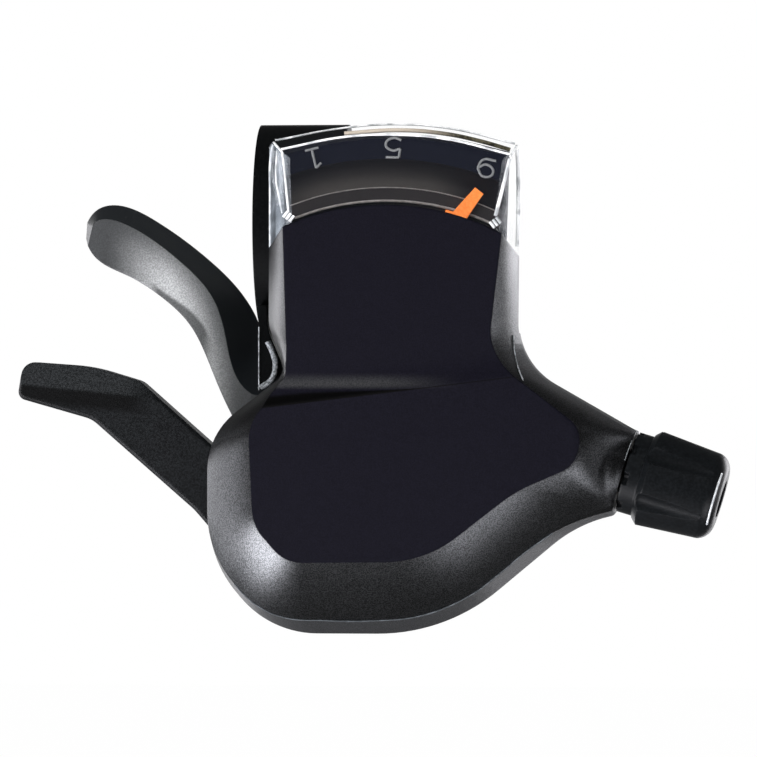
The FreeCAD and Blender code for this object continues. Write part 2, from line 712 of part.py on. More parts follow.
def make_rear_cover():
    """The rear shell, open on the left where the levers swing."""
    lip, back, wall = value(LIP), value(REAR_BACK), value("rear_wall")
    insets = {True: value("rear_boss_inset"), False: value("rear_inset")}
    small = moved_sides(LIP_OUTLINE, [-insets[row[0] in BOSS] for row in RIM])
    outer = blend(LIP_OUTLINE, lip, small, back)
    inner = blend(inset(LIP_OUTLINE, wall), lip - value("fit_gap"), inset(small, wall), value(REAR_INSIDE))
    top = AXLE_Z + value("skirt_top")
    outer = outer.common(block((-FAR, lip, AXLE_Z - FAR), (FAR, back, top)))
    end = value("boss_reach - rear_set_back")
    outer = outer.cut(beyond_barrel(end))
    inner = inner.common(block((-FAR, lip - wall, AXLE_Z - FAR), (FAR, back, top - wall)))
    inner = inner.cut(beyond_barrel(end - wall))
    shell = outer.cut(inner)
    posts = []
    for spot in post_places():
        post = disc(POST_RADIUS, value(DECK_BACK), back, *spot)
        posts.append(post.cut(disc(SCREW_RADIUS + value("running_gap"), value(DECK_BACK), back, *spot)))
    holes = [disc(SCREW_RADIUS + value("running_gap"), lip, back, *spot) for spot in post_places()]
    wedge = [(0.0, 0.0)] + [polar(FAR, value(text)) for text in ("opening_start", "opening_end")]
    points = [Vector(*place_at(across, lip - wall, up)) for across, up in wedge]
    opening = Part.Face(Part.makePolygon(points + points[:1])).extrude(Vector(0, FAR, 0))
    opening = opening.cut(disc(value("opening_radius"), lip - wall, lip + FAR))
    passage = barrel_cylinder(value("boss_tube_radius + fit_gap"), value("boss_start"), FAR)
    shell = shell.cut([opening, passage] + holes).fuse(posts)
    return feature("rear_cover", shell.removeSplitter())


def make_screws():
    """Two long screws from the rear cover through the deck into the top cover."""
    start = value(DECK_FRONT) - value("screw_bite") + value("fit_gap")
    back = value(REAR_BACK)
    solids = []
    for spot in post_places():
        shank = disc(SCREW_RADIUS, start, back, *spot)
        head = disc(value("screw_head_diameter / 2"), back, back + value("screw_head_height"), *spot)
        solids.append(shank.fuse(head).removeSplitter())
    return feature("cover_screws", Part.makeCompound(solids))


# The dial and its needle

def idler_place():
    """Across and up of the idler's spindle."""
    distance = value("gear_module") * (DRUM_TEETH + IDLER_TEETH) / 2
    return polar(distance, value("idler_angle"))


def make_dial():
    """The dial: a flat rib, a hollow cove and a raised number band, all arcs round the axle."""
    base, low = value(DECK_FRONT), value(DECK_FRONT) - value("dial_thickness")
    high = low - value("dial_rise")
    ledge = low + value("dial_ledge_depth")
    inner, outer = value("dial_inner_radius"), value("head_peak_z")
    rib_in = inner + value("dial_ledge_width")
    rib_out = rib_in + value("dial_rib_width")
    band = rib_out + value("dial_channel_width")
    profile = [(band, high), (outer, high), (outer, base), (inner, base), (inner, ledge), (rib_in, ledge),
               (rib_in, low), (rib_out, low)]
    points = [Vector(AXLE_X, along, AXLE_Z + radius) for radius, along in profile]
    chord = points[0] - points[-1]
    deep = chord.cross(Vector(1, 0, 0)).normalize() * value("dial_channel_depth")
    cove = Part.Arc(points[-1], (points[0] + points[-1]) / 2 + deep, points[0])
    sides = Part.Wire(Part.makePolygon(points).Edges + [cove.toShape()])
    ring = Part.Face(sides).revolve(Vector(AXLE_X, 0, AXLE_Z), Y_AXIS, 360)
    wall = value("lens_wall + fit_gap")
    rim, panel = inset(head_of(RIM_OUTLINE), wall), inset(head_of(PANEL_OUTLINE), wall)
    room = blend(rim, value(RIM_LEVEL) + 1, panel, value(PANEL))
    return feature("dial_plate", ring.common(room).removeSplitter())


DRUM_TEETH = 14
IDLER_TEETH = 28
IDLER_PINION_TEETH = 12
NEEDLE_TEETH = 30
SECTOR_HALF = 34.0


def gear(teeth, start, end, across, up, tooth_at):
    """A spur gear with one tooth centred on the given direction, thinned for backlash."""
    module = value("gear_module")
    pitch_radius = module * teeth / 2
    rows = ((-1.15, 0.5), (-0.9, 0.38), (0.0, 0.225), (0.45, 0.155), (0.8, 0.085))
    flank = [(pitch_radius + module * height, share * 360 / teeth) for height, share in rows]
    points = []
    for tooth in range(teeth):
        centre = tooth_at + tooth * 360 / teeth
        sides = [(radius, centre - half) for radius, half in flank[1:]]
        sides += [(radius, centre + half) for radius, half in reversed(flank[1:])]
        for radius, degrees in sides:
            x, z = polar(radius, degrees)
            points.append(Vector(*place_at(across + x, start, up + z)))
    return Part.Face(Part.makePolygon(points + points[:1])).extrude(Vector(0, end - start, 0))


def make_idler():
    """Compound idler: a wheel behind the deck and a pinion in front, on one journal."""
    across, up = idler_place()
    angle = value("idler_angle") + 180
    wheel = gear(IDLER_TEETH, value(GEAR_FRONT), value(DRUM_FRONT), across, up, angle + 180 / IDLER_TEETH)
    shoulder = value(NEEDLE_BACK) + value("layer_gap")
    journal = disc(value("idler_journal / 2"), shoulder, value(GEAR_FRONT), across, up)
    half_tooth = 180 / IDLER_PINION_TEETH
    pinion = gear(IDLER_PINION_TEETH, value(NEEDLE_FRONT), shoulder, across, up, angle + half_tooth)
    return feature("indicator_idler", wheel.fuse([journal, pinion]).removeSplitter())


def make_needle():
    """The indicator needle: a hub with a toothed sector, an arm and a leaning pointer."""
    front, back = value(NEEDLE_FRONT), value(NEEDLE_BACK)
    sector = gear(NEEDLE_TEETH, front, back, 0, 0, value("idler_angle"))
    hub_radius = value("gear_module") * NEEDLE_TEETH / 2 - 3 * value("gear_module")
    keep = [(0.0, 0.0)]
    keep += [polar(FAR, value("idler_angle") + SECTOR_HALF * side) for side in (1, -1)]
    sector = sector.common(prism([(x, z, 0) for x, z in keep], front, back))
    arm_angle = value("needle_angle")
    half = value("needle_arm_width / 2")
    arm = Part.makeBox(value("pointer_base_radius"), back - front, 2 * half,
                       Vector(AXLE_X, front, AXLE_Z - half))
    arm = spun(arm, arm_angle)
    base, tip = value("pointer_base_radius"), value("pointer_tip_radius")
    reach = (tip - base) / math.cos(math.radians(value("pointer_lean")))
    lean = arm_angle - value("pointer_lean")
    start_x, start_z = polar(base - half, arm_angle)
    side_x, side_z = polar(1.0, lean + 90)
    end_x, end_z = polar(reach + half, lean)
    wide, narrow = value("pointer_base_width / 2"), value("pointer_tip_width / 2")
    pointer = [
        (start_x + side_x * wide, start_z + side_z * wide, 0),
        (start_x + end_x + side_x * narrow, start_z + end_z + side_z * narrow, 0),
        (start_x + end_x - side_x * narrow, start_z + end_z - side_z * narrow, 0),
        (start_x - side_x * wide, start_z - side_z * wide, 0),
    ]
    hub = disc(hub_radius, front, back)
    spacer = disc(value("needle_hub / 2"), back, value(DECK_FRONT) - value("running_gap"))
    solid = hub.fuse([spacer, sector, arm, prism(pointer, front, back)])
    bore = disc(value("axle_diameter / 2 + running_gap"), -FAR, FAR)
    return feature("needle", solid.cut(bore).removeSplitter())


# Axle, drum and ratchet

def make_axle():
    """The axle: a flat head in front of the needle and a plain pin through the stack."""
    pin, head = "axle_diameter / 2", "axle_head_diameter / 2"
    end = f"{NUT_BACK} + rear_room / 2"
    profile = [("0", AXLE_FRONT), (head, AXLE_FRONT), (head, AXLE_HEAD_BACK), (pin, AXLE_HEAD_BACK),
               (pin, end), ("0", end)]
    body = turned("main_axle", profile)
    place(body, "axle_across", "0", "-axle_drop")
    return body


def make_axle_nut():
    """Hexagon nut at the back of the axle."""
    blank = doc.addObject("Part::Prism", "axle_nut_blank")
    blank.Polygon = 6
    blank.setExpression("Circumradius", bound("axle_nut_width / 2 / cos(30)"))
    blank.setExpression("Height", bound("axle_nut_height"))
    place(blank, "axle_across", NUT_FRONT, "-axle_drop", Rotation(Vector(1, 0, 0), -90))
    hole = doc.addObject("Part::Cylinder", "axle_nut_hole")
    hole.setExpression("Radius", bound("axle_diameter / 2"))
    hole.setExpression("Height", bound("axle_nut_height"))
    place(hole, "axle_across", NUT_FRONT, "-axle_drop", Rotation(Vector(1, 0, 0), -90))
    nut = doc.addObject("Part::Cut", "axle_nut")
    nut.Base = blank
    nut.Tool = hole
    return nut


def make_ring(label, inner, outer, start, end):
    """A washer or bush on the axle."""
    body = turned(label, tube(inner, outer, start, end))
    place(body, "axle_across", "0", "-axle_drop")
    return body


def make_drum():
    """The cable drum: grooved spool with a pinion in front and a hexagon boss behind."""
    front, back = value(DRUM_FRONT), value(DRUM_BACK)
    flange, groove = value("drum_flange_radius"), value("cable_groove / 2")
    middle, floor = value(CABLE_LEVEL), value("cable_radius - cable_groove / 2")
    profile = [(0, front), (flange, front), (flange, middle - 2 * groove), (floor, middle - groove),
               (floor, middle + groove), (flange, middle + 2 * groove), (flange, back), (0, back)]
    points = [Vector(AXLE_X + radius, along, AXLE_Z) for radius, along in profile]
    spool = Part.Face(Part.makePolygon(points + points[:1])).revolve(Vector(AXLE_X, 0, AXLE_Z), Y_AXIS, 360)
    pinion = gear(DRUM_TEETH, value(GEAR_FRONT), front, 0, 0, value("idler_angle"))
    hexagon = [(*polar(value("ratchet_hub"), 60 * side), 0) for side in range(6)]
    boss = prism(hexagon, back, value(RATCHET_BACK))
    pocket_x, pocket_z = polar(floor, 90 - value("barrel_tilt"))
    pocket = disc(2 * groove, middle - groove, back, pocket_x, pocket_z)
    bore = disc(value("axle_diameter / 2 + running_gap"), -FAR, FAR)
    return feature("cable_drum", spool.fuse([pinion, boss]).cut([pocket, bore]).removeSplitter())


def make_ratchet():
    """The ratchet wheel: saw teeth with their steep faces clockwise."""
    teeth = int(value("ratchet_teeth"))
    start, end = value(DRUM_BACK), value(RATCHET_BACK)
    points = []
    for tooth in range(teeth):
        face = value("tooth_face_angle") + tooth * 360 / teeth
        for size, degrees in (("ratchet_root_radius", face), ("ratchet_tip_radius", face + 1)):
            radius = value(size)
            points.append(Vector(*place_at(polar(radius, degrees)[0], start, polar(radius, degrees)[1])))
    wheel = Part.Face(Part.makePolygon(points + points[:1])).extrude(Vector(0, end - start, 0))
    hub = prism([(*polar(value("ratchet_hub"), 60 * side), 0) for side in range(6)], start, end)
    return feature("ratchet_wheel", wheel.cut(hub).removeSplitter())


# Pawls with their pins and springs

HOLD_TURN = 0.0
FEED_TURN = 180.0
PAWL_SPRING_LEGS = (165.0, -35.0)


def pawl_pin_place(turn):
    """Across and up of a pawl's pin."""
    return polar(value("pawl_pin_radius"), value("tooth_face_angle - pawl_pin_lag") + turn)


def make_pawl(label, turn):
    """A pawl: an eye on its pin and a nose that stands just clear of the teeth."""
    start, end = value(DRUM_BACK), value(RATCHET_BACK)
    nose_radius = value("ratchet_tip_radius + pawl_clearance")
    face = value("tooth_face_angle - pawl_nose_lag")
    heel = face - value("pawl_nose_span")
    eye = value("pawl_eye")
    pin_x, pin_z = pawl_pin_place(0)
    outline = [
        (*polar(nose_radius, face), 0),
        (*polar(nose_radius + eye, face), 0),
        (pin_x, pin_z + value("pawl_back"), 0),
        (pin_x, pin_z - value("pawl_back"), 0),
        (*polar(nose_radius + value("pawl_belly"), heel - 2 * value("pawl_nose_span")), 0),
        (*polar(nose_radius, heel), 0),
    ]
    arm = prism(outline, start, end)
    solid = arm.fuse(disc(eye, start, end, pin_x, pin_z))
    hole = disc(value("pawl_pin_diameter / 2 + running_gap"), start, end, pin_x, pin_z)
    return feature(label, spun(solid.cut(hole).removeSplitter(), turn))


def make_pin(label, turn, start, end):
    """A plain pin for a pawl, along Y."""
    pin = doc.addObject("Part::Cylinder", label)
    pin.setExpression("Radius", bound("pawl_pin_diameter / 2"))
    pin.setExpression("Height", bound(f"{end} - {start}"))
    angle = f"(tooth_face_angle - pawl_pin_lag + {turn})"
    place(pin, f"axle_across + pawl_pin_radius * cos{angle}", start,
          f"-axle_drop + pawl_pin_radius * sin{angle}", Rotation(Vector(1, 0, 0), -90))
    return pin


def make_pawl_spring(label, turn, start):
    """A torsion spring on a pawl's pin: a close coil and two legs."""
    wire = value("spring_wire")
    end = start + value("pawl_spring_height")
    inner = value("pawl_pin_diameter / 2 + running_gap")
    pin_x, pin_z = pawl_pin_place(0)
    coil = disc(inner + wire, start, end, pin_x, pin_z).cut(disc(inner, start, end, pin_x, pin_z))
    legs = []
    for angle in PAWL_SPRING_LEGS:
        corner = Vector(0, 0, inner + wire / 4)
        leg = Part.makeBox(value("pawl_spring_leg_length"), wire / 2, wire / 2, corner)
        leg.rotate(Vector(), Vector(0, -1, 0), angle)
        leg.translate(Vector(*place_at(pin_x, start, pin_z)))
        legs.append(leg)
    return feature(label, spun(coil.fuse(legs).removeSplitter(), turn))


# Levers

def lever_plate(angle, length, width, start, end):
    """A flat lever plate: a hub on the axle and an arm with a round end."""
    half = width / 2
    arm = block((AXLE_X, start, AXLE_Z - half), (AXLE_X + length, end, AXLE_Z + half))
    return spun(arm, angle).fuse(disc(value("lever_hub_radius"), start, end))


def make_main_plate():
    """The thumb lever's plate, with a second arm for the feed pawl."""
    start, end = value(MAIN_FRONT), value(MAIN_BACK)
    arm = [value(f"main_arm_{size}") for size in ("angle", "length", "width")]
    plate = lever_plate(*arm, start, end)
    pin_angle = value("tooth_face_angle - pawl_pin_lag") + FEED_TURN
    pawl_arm = lever_plate(pin_angle, value("pawl_pin_radius"), value("pawl_arm_width"), start, end)
    pin_x, pin_z = pawl_pin_place(FEED_TURN)
    solid = plate.fuse([pawl_arm, disc(value("pawl_arm_width / 2"), start, end, pin_x, pin_z)])
    holes = [disc(value("axle_diameter / 2 + running_gap"), start, end),
             disc(value("pawl_pin_diameter / 2"), start, end, pin_x, pin_z)]
    return feature("main_lever_plate", solid.cut(holes).removeSplitter())


def flattened(points):
    """Four points moved onto the one plane that lies nearest to them all."""
    first, second, third, fourth = points
    normal = (third - first).cross(fourth - second).normalize()
    centre = (first + second + third + fourth) / 4
    return [point - normal * (point - centre).dot(normal) for point in points]


def make_paddle(plate):
    """The moulded thumb paddle: a loft through its sections, slotted over the plate's arm."""
    level = value(MAIN_FRONT)
    wires = []
    for name in (row[0] for row in PADDLE):
        points = []
        for spot in PADDLE_SPOTS:
            across, along, up = (value(f"paddle_{name}_{spot}_{field}") for field in "xyz")
            points.append(Vector(*place_at(across, level + along, up)))
        points = flattened(points)
        wires.append(Part.makePolygon(points + points[:1]))
    loft = Part.makeLoft(wires, True, False)
    behind = block((-FAR, level, -FAR), (FAR, level + FAR, FAR))
    return feature("main_lever_paddle", loft.common(behind).cut(plate.Shape))


def make_release_plate():
    """The finger lever's plate."""
    start, end = value(RELEASE_FRONT), value(RELEASE_BACK)
    plate = lever_plate(value("release_arm_angle"), value("release_arm_length"), value("release_arm_width"),
                        start, end)
    bore = disc(value("axle_diameter / 2 + running_gap"), start, end)
    return feature("release_lever_plate", plate.cut(bore).removeSplitter())


def make_release_pad(plate):
    """The moulded finger pad, bevelled in front and slotted over the plate's arm."""
    names = [row[0] for row in RELEASE_PAD]
    outline = [tuple(value(f"pad_{name}_{field}") for field in ("x", "z", "radius")) for name in names]
    back = value(RELEASE_BACK)
    front = value(RELEASE_FRONT) - value("release_pad_front")
    shoulder = front + value("release_pad_bevel")
    body = prism(outline, shoulder, back)
    bevel = blend(outline, shoulder, inset(outline, value("release_pad_edge")), front)
    spots = [(value(f"pad_{name}_x"), value(f"pad_{name}_z")) for name, across, up in PAD_CREASE]
    crease = [Vector(*place_at(across, front, up)) for across, up in spots]
    along = (crease[1] - crease[0]).normalize()
    tilt = math.radians(value("release_pad_tilt"))
    rise = along.cross(Y_AXIS) * math.cos(tilt) + Y_AXIS * math.sin(tilt)
    space = Part.makeBox(FAR, FAR, FAR, Vector(-FAR / 2, -FAR / 2, 0))
    turn = Rotation(along, rise, along.cross(rise), "XYZ")
    space.Placement = Placement(crease[0], turn).multiply(space.Placement)
    pad = body.fuse(bevel).removeSplitter().cut([space, plate.Shape])
    return feature("release_lever_pad", pad)


def square_pipe(path, wire):
    """Square spring wire swept along a path of edges."""
    start = path.Edges[0].valueAt(path.Edges[0].FirstParameter)
    along = path.Edges[0].tangentAt(path.Edges[0].FirstParameter)
    across = Y_AXIS if abs(along.dot(Y_AXIS)) < 0.9 else Vector(0, 0, 1)
    aside = along.cross(across).normalize()
    across = aside.cross(along).normalize()
    half = wire / 2
    corners = [start + aside * half * a + across * half * b for a, b in ((1, 1), (-1, 1), (-1, -1), (1, -1))]
    return path.makePipeShell([Part.makePolygon(corners + corners[:1])], True, False)


def make_release_spring():
    """Flat spiral spring between the ratchet and the finger lever, built from half turns."""
    wire = value("spring_wire")
    level = value(BUSH_FRONT) + value("spring_room") / 2
    radius = value("axle_diameter / 2 + bush_wall") + wire
    growth = value("release_spring_pitch / 2")
    edges = []
    centre = 0.0
    side = 1.0
    for half_turn in range(2 * int(value("release_spring_turns"))):
        first = Vector(*place_at(centre + side * radius, level, 0))
        middle = Vector(*place_at(centre, level, side * radius))
        last = Vector(*place_at(centre - side * radius, level, 0))
        edges.append(Part.Arc(first, middle, last).toShape())
        radius += growth
        centre += side * growth
        side = -side
    return feature("release_lever_spring", square_pipe(Part.Wire(edges), wire))


def make_main_spring():
    """Torsion coil behind the thumb lever's plate, round the nut."""
    wire = value("spring_wire")
    turns = value("main_spring_turns")
    pitch = value("main_spring_pitch")
    helix = Part.makeHelix(pitch, pitch * turns, value("main_spring_radius"))
    path = Part.Wire(helix.Edges)
    half = wire / 2
    radius = value("main_spring_radius")
    profile = [Vector(radius + half * a, 0, half * b) for a, b in ((1, 1), (-1, 1), (-1, -1), (1, -1))]
    coil = path.makePipeShell([Part.makePolygon(profile + profile[:1])], True, True)
    coil.Placement = Placement(Vector(*place_at(0, value(MAIN_BACK) + value("layer_gap") + half, 0)),
                               Rotation(Vector(1, 0, 0), -90))
    return feature("main_lever_spring", coil)


# Barrel adjuster, built along Z and then laid on the barrel's axis

def make_adjuster_screw():
    """The hollow screw that the knob turns."""
    radius, hole = "adjuster_screw_diameter / 2", "cable_hole / 2"
    end = "boss_reach + knob_collar_length + knob_length - housing_socket_depth"
    body = turned("adjuster_screw", tube(hole, radius, f"{end} - adjuster_screw_length", end), "XZ_Plane")
    body.Placement = Placement(BARREL_START, BARREL_TURN)
    return body


def make_knob():
    """The lobed knob with a toothed collar and the socket for the cable housing."""
    start = value("boss_reach + knob_gap")
    shoulder = start + value("knob_collar_length")
    end = value("boss_reach + knob_collar_length + knob_length")
    collar, base, tip = value("knob_collar_radius"), value("knob_radius"), value("knob_tip_radius")
    edge, slope = value("knob_edge"), value("knob_shoulder")
    socket, screw = value("housing_socket / 2"), value("adjuster_screw_diameter / 2")
    socket_floor = end - value("housing_socket_depth")
    profile = [Vector(radius, 0, along) for radius, along in (
        (screw, start), (collar, start), (collar, shoulder), (base - slope, shoulder),
        (base, shoulder + slope), (tip, end - edge))]
    sides = [Part.LineSegment(first, last).toShape() for first, last in zip(profile, profile[1:])]
    bend = Vector(tip - edge * (1 - math.sqrt(0.5)), 0, end - edge * (1 - math.sqrt(0.5)))
    sides.append(Part.Arc(profile[-1], bend, Vector(tip - edge, 0, end)).toShape())
    inner = [Vector(tip - edge, 0, end), Vector(socket, 0, end), Vector(socket, 0, socket_floor),
             Vector(screw, 0, socket_floor), profile[0]]
    sides += [Part.LineSegment(first, last).toShape() for first, last in zip(inner, inner[1:])]
    knob = Part.Face(Part.Wire(sides)).revolve(Vector(), Vector(0, 0, 1), 360)
    lobes = int(value("knob_lobes"))
    groove = value("knob_groove_radius")
    reach = base - value("knob_groove_depth") + groove
    cuts = []
    for lobe in range(lobes):
        angle = math.radians(value("knob_phase") + lobe * 360 / lobes)
        spot = Vector(reach * math.cos(angle), reach * math.sin(angle), shoulder + slope)
        cuts.append(Part.makeCylinder(groove, end, spot))
        cuts.append(Part.makeSphere(groove, spot))
    clicks = int(value("knob_clicks"))
    for click in range(clicks):
        angle = math.radians(click * 360 / clicks)
        spot = Vector(collar * math.cos(angle), collar * math.sin(angle), start)
        cuts.append(Part.makeCylinder(value("knob_click_radius"), value("knob_click_depth"), spot))
    piece = feature("adjuster_knob", knob.cut(cuts).removeSplitter())
    piece.Placement = Placement(BARREL_START, BARREL_TURN)
    return piece


def check(pieces):
    """Stop if any object failed, or a piece is empty or not a sound solid."""
    doc.recompute()
    failed = [item.Name for item in doc.Objects if {"Invalid", "Error"} & set(item.State)]
    failed += [item.Label for item in pieces if item.Shape.isNull() or not item.Shape.isValid()]
    failed += [item.Label for item in pieces if not item.Shape.Solids or item.Shape.Volume <= 0]
    if failed:
        raise RuntimeError("failed: " + ", ".join(failed))


def build():
    """Make every piece, in the order in which they are put together."""
    main_plate = make_main_plate()
    release_plate = make_release_plate()
    return [
        make_bracket(),
        make_clamp_bolt(),
        make_clamp_nut(),
        make_top_cover(),
        make_lens(),
        make_rear_cover(),
        make_screws(),
        make_dial(),
        make_needle(),
        make_idler(),
        make_axle(),
        make_axle_nut(),
        make_ring("axle_washer", "axle_diameter / 2 + running_gap", "washer_diameter / 2",
                  WASHER_FRONT, NUT_FRONT),
        make_ring("spring_bush", "axle_diameter / 2 + running_gap", "axle_diameter / 2 + bush_wall",
                  BUSH_FRONT, f"{BUSH_FRONT} + spring_room"),
        make_drum(),
        make_ratchet(),
        make_pawl("hold_pawl", HOLD_TURN),
        make_pin("hold_pawl_pin", HOLD_TURN, DECK_FRONT, f"({RATCHET_BACK} + spring_room)"),
        make_pawl_spring("hold_pawl_spring", HOLD_TURN,
                         value(DRUM_BACK) - value("pawl_spring_height + fit_gap")),
        make_pawl("feed_pawl", FEED_TURN),
        make_pin("feed_pawl_pin", FEED_TURN, DRUM_BACK, MAIN_BACK),
        make_pawl_spring("feed_pawl_spring", FEED_TURN, value(RATCHET_BACK) + value("fit_gap")),
        main_plate,
        make_paddle(main_plate),
        make_main_spring(),
        release_plate,
        make_release_pad(release_plate),
        make_release_spring(),
        make_adjuster_screw(),
        make_knob(),
    ]


def main():
    """Build, check and write each piece to its own file."""
    pieces = build()
    check(pieces)
    os.makedirs("parts", exist_ok=True)
    for piece in pieces:
        piece.Shape.exportStep(f"parts/{piece.Label}.step")


main()
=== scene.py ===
import math

import bmesh
import bpy
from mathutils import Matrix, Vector


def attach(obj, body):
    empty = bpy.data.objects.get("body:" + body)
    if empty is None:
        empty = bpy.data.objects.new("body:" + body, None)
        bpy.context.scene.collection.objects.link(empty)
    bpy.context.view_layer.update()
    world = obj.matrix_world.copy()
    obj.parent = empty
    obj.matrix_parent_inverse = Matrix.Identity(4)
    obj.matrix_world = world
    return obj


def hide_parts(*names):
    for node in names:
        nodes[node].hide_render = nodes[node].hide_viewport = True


# A right-hand trigger shifter seen almost square on, on a plain white ground.
# Places on the part are in mm: across (X) and up (Z) from the main axle, at a level along Y.

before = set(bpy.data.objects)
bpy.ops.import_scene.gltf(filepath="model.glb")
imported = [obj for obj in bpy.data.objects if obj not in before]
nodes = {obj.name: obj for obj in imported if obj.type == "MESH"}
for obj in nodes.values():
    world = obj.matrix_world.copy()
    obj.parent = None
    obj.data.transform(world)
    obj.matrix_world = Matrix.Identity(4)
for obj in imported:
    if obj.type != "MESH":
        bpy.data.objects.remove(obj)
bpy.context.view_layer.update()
scene = bpy.context.scene
scene.view_settings.view_transform = "Standard"

MM = 0.001
AXLE = Vector((12.3, 0.0, -31.7))
PANEL_LEVEL = -22.9
RIM_LEVEL = -16.0
BAND_LEVEL = -19.4
RIB_LEVEL = -18.0


# Materials

BEVEL_SAMPLES = 6
FINE_DETAIL = 3.0
SPECK, PLASTIC_SPECK = (0.36, 0.66), (0.38, 0.66)
BLOTCH_MM = 6.0
BLOTCH_SHARE = 0.07
BRUSH_SHARE = 0.08
BRUSH_DEPTH = 0.004


class Nodes:
    """Short forms for making and joining the nodes of one tree."""

    def __init__(self, tree):
        self.tree = tree

    def feed(self, socket, given):
        """Joins a socket to an output, or sets its own value."""
        if isinstance(given, bpy.types.NodeSocket):
            self.tree.links.new(given, socket)
        else:
            socket.default_value = given

    def node(self, kind, **inputs):
        """A new node, its inputs given by name with _ for each space."""
        made = self.tree.nodes.new(kind)
        for name, given in inputs.items():
            self.feed(made.inputs[name.replace("_", " ")], given)
        return made

    def math(self, operation, first, second=0.0):
        """One operation on one or two values."""
        made = self.node("ShaderNodeMath")
        made.operation = operation
        self.feed(made.inputs[0], first)
        self.feed(made.inputs[1], second)
        return made.outputs[0]

    def chain(self, operation, values):
        """One operation carried through several values in turn."""
        total = values[0]
        for given in values[1:]:
            total = self.math(operation, total, given)
        return total

    def times(self, *values):
        return self.chain("MULTIPLY", values)

    def plus(self, *values):
        return self.chain("ADD", values)

    def minus(self, *values):
        return self.chain("SUBTRACT", values)

    def most(self, *values):
        return self.chain("MAXIMUM", values)

    def unsigned(self, value):
        return self.math("ABSOLUTE", value)

    def ramp(self, factor, low, high, start=0.0, end=1.0):
        """From start at low to end at high, smooth between."""
        limits = {"From_Min": low, "From_Max": high, "To_Min": start, "To_Max": end}
        made = self.node("ShaderNodeMapRange", Value=factor, **limits)
        made.interpolation_type = "SMOOTHSTEP"
        return made.outputs["Result"]


class Look(Nodes):
    """One procedural material: its node tree, its shader and object coordinates in metres."""

    def __init__(self, name, roughness=0.5, specular=0.5, metallic=0.0):
        self.material = bpy.data.materials.new(name)
        self.material.use_nodes = True
        super().__init__(self.material.node_tree)
        self.shader = self.tree.nodes["Principled BSDF"]
        self.set("Roughness", roughness)
        self.set("Specular IOR Level", specular)
        self.set("Metallic", metallic)
        self.place = self.node("ShaderNodeTexCoord").outputs["Object"]

    def set(self, name, given):
        """Gives one input of the shader a value, or joins it to an output."""
        self.feed(self.shader.inputs[name], given)

    def noise(self, size_mm, detail=2.0):
        """Soft spots of about the given size, from 0 to 1."""
        made = self.node("ShaderNodeTexNoise", Vector=self.place, Scale=1.0 / (size_mm * MM), Detail=detail)
        return made.outputs["Fac"]

    def mix(self, factor, first, second):
        """From the first colour to the second as the factor goes from 0 to 1."""
        made = self.node("ShaderNodeMix")
        made.data_type = "RGBA"
        self.feed(made.inputs["Factor"], factor)
        for socket, given in ((made.inputs[6], first), (made.inputs[7], second)):
            self.feed(socket, given if isinstance(given, bpy.types.NodeSocket) else (*given, 1.0))
        return made.outputs[2]

    def axis(self, letter):
        """The distance from the main axle along one axis of the part, in mm."""
        metres = self.node("ShaderNodeSeparateXYZ", Vector=self.place).outputs[letter]
        return self.minus(self.math("DIVIDE", metres, MM), AXLE["XYZ".index(letter)])

    def radius(self, across=0.0, up=0.0):
        """The distance from a line along Y that passes across and up of the axle, in mm."""
        sides = [self.minus(self.axis("X"), across), self.minus(self.axis("Z"), up)]
        squares = [self.math("POWER", self.unsigned(side), 2.0) for side in sides]
        return self.math("SQRT", self.plus(*squares))

    def band(self, factor, low, high, fade):
        """1 between two limits, fading to 0 outside them."""
        return self.times(self.ramp(factor, low - fade, low), self.ramp(factor, high + fade, high))

    def face_normal(self):
        """The direction of the face itself, along the part's own axes."""
        normal = self.node("ShaderNodeNewGeometry").outputs["True Normal"]
        turn = self.node("ShaderNodeVectorTransform", Vector=normal)
        turn.vector_type, turn.convert_from, turn.convert_to = "NORMAL", "WORLD", "OBJECT"
        return self.node("ShaderNodeSeparateXYZ", Vector=turn.outputs["Vector"]).outputs

    def blotch(self, middle, share, size_mm=BLOTCH_MM):
        """Slow blotches of gloss about a middle roughness."""
        self.set("Roughness", self.ramp(self.noise(size_mm), 0.0, 1.0, middle - share, middle + share))

    def bump(self, height, depth_mm, edge_mm=0.0, crown=None, crown_mm=0.0):
        """A grain of some depth; edges look rounded and faces look crowned where asked."""
        grain = self.node("ShaderNodeBump", Strength=1.0, Distance=depth_mm * MM, Height=height)
        top = grain
        if crown is not None:
            top = self.node("ShaderNodeBump", Strength=1.0, Distance=crown_mm * MM, Height=crown)
            self.feed(grain.inputs["Normal"], top.outputs["Normal"])
        if edge_mm:
            edge = self.node("ShaderNodeBevel", Radius=self.times(edge_mm, MM))
            edge.samples = BEVEL_SAMPLES
            self.feed(top.inputs["Normal"], edge.outputs["Normal"])
        self.set("Normal", grain.outputs["Normal"])


def grey(level, tint=0.0):
    """A grey as a linear colour, a little bluer with a positive tint."""
    return (level * (1.0 - tint), level, level * (1.0 + tint))


def plastic(name, dark, light, roughness, grain_mm=0.25, depth_mm=0.012, specular=0.35, edge_mm=0.0):
    """Moulded plastic: two close tones in fine spots, slow blotches of gloss and a moulded grain."""
    look = Look(name, roughness, specular)
    fine = look.noise(grain_mm, FINE_DETAIL)
    look.set("Base Color", look.mix(look.ramp(fine, *PLASTIC_SPECK), dark, light))
    look.blotch(roughness, BLOTCH_SHARE)
    look.bump(fine, depth_mm, edge_mm)
    return look.material


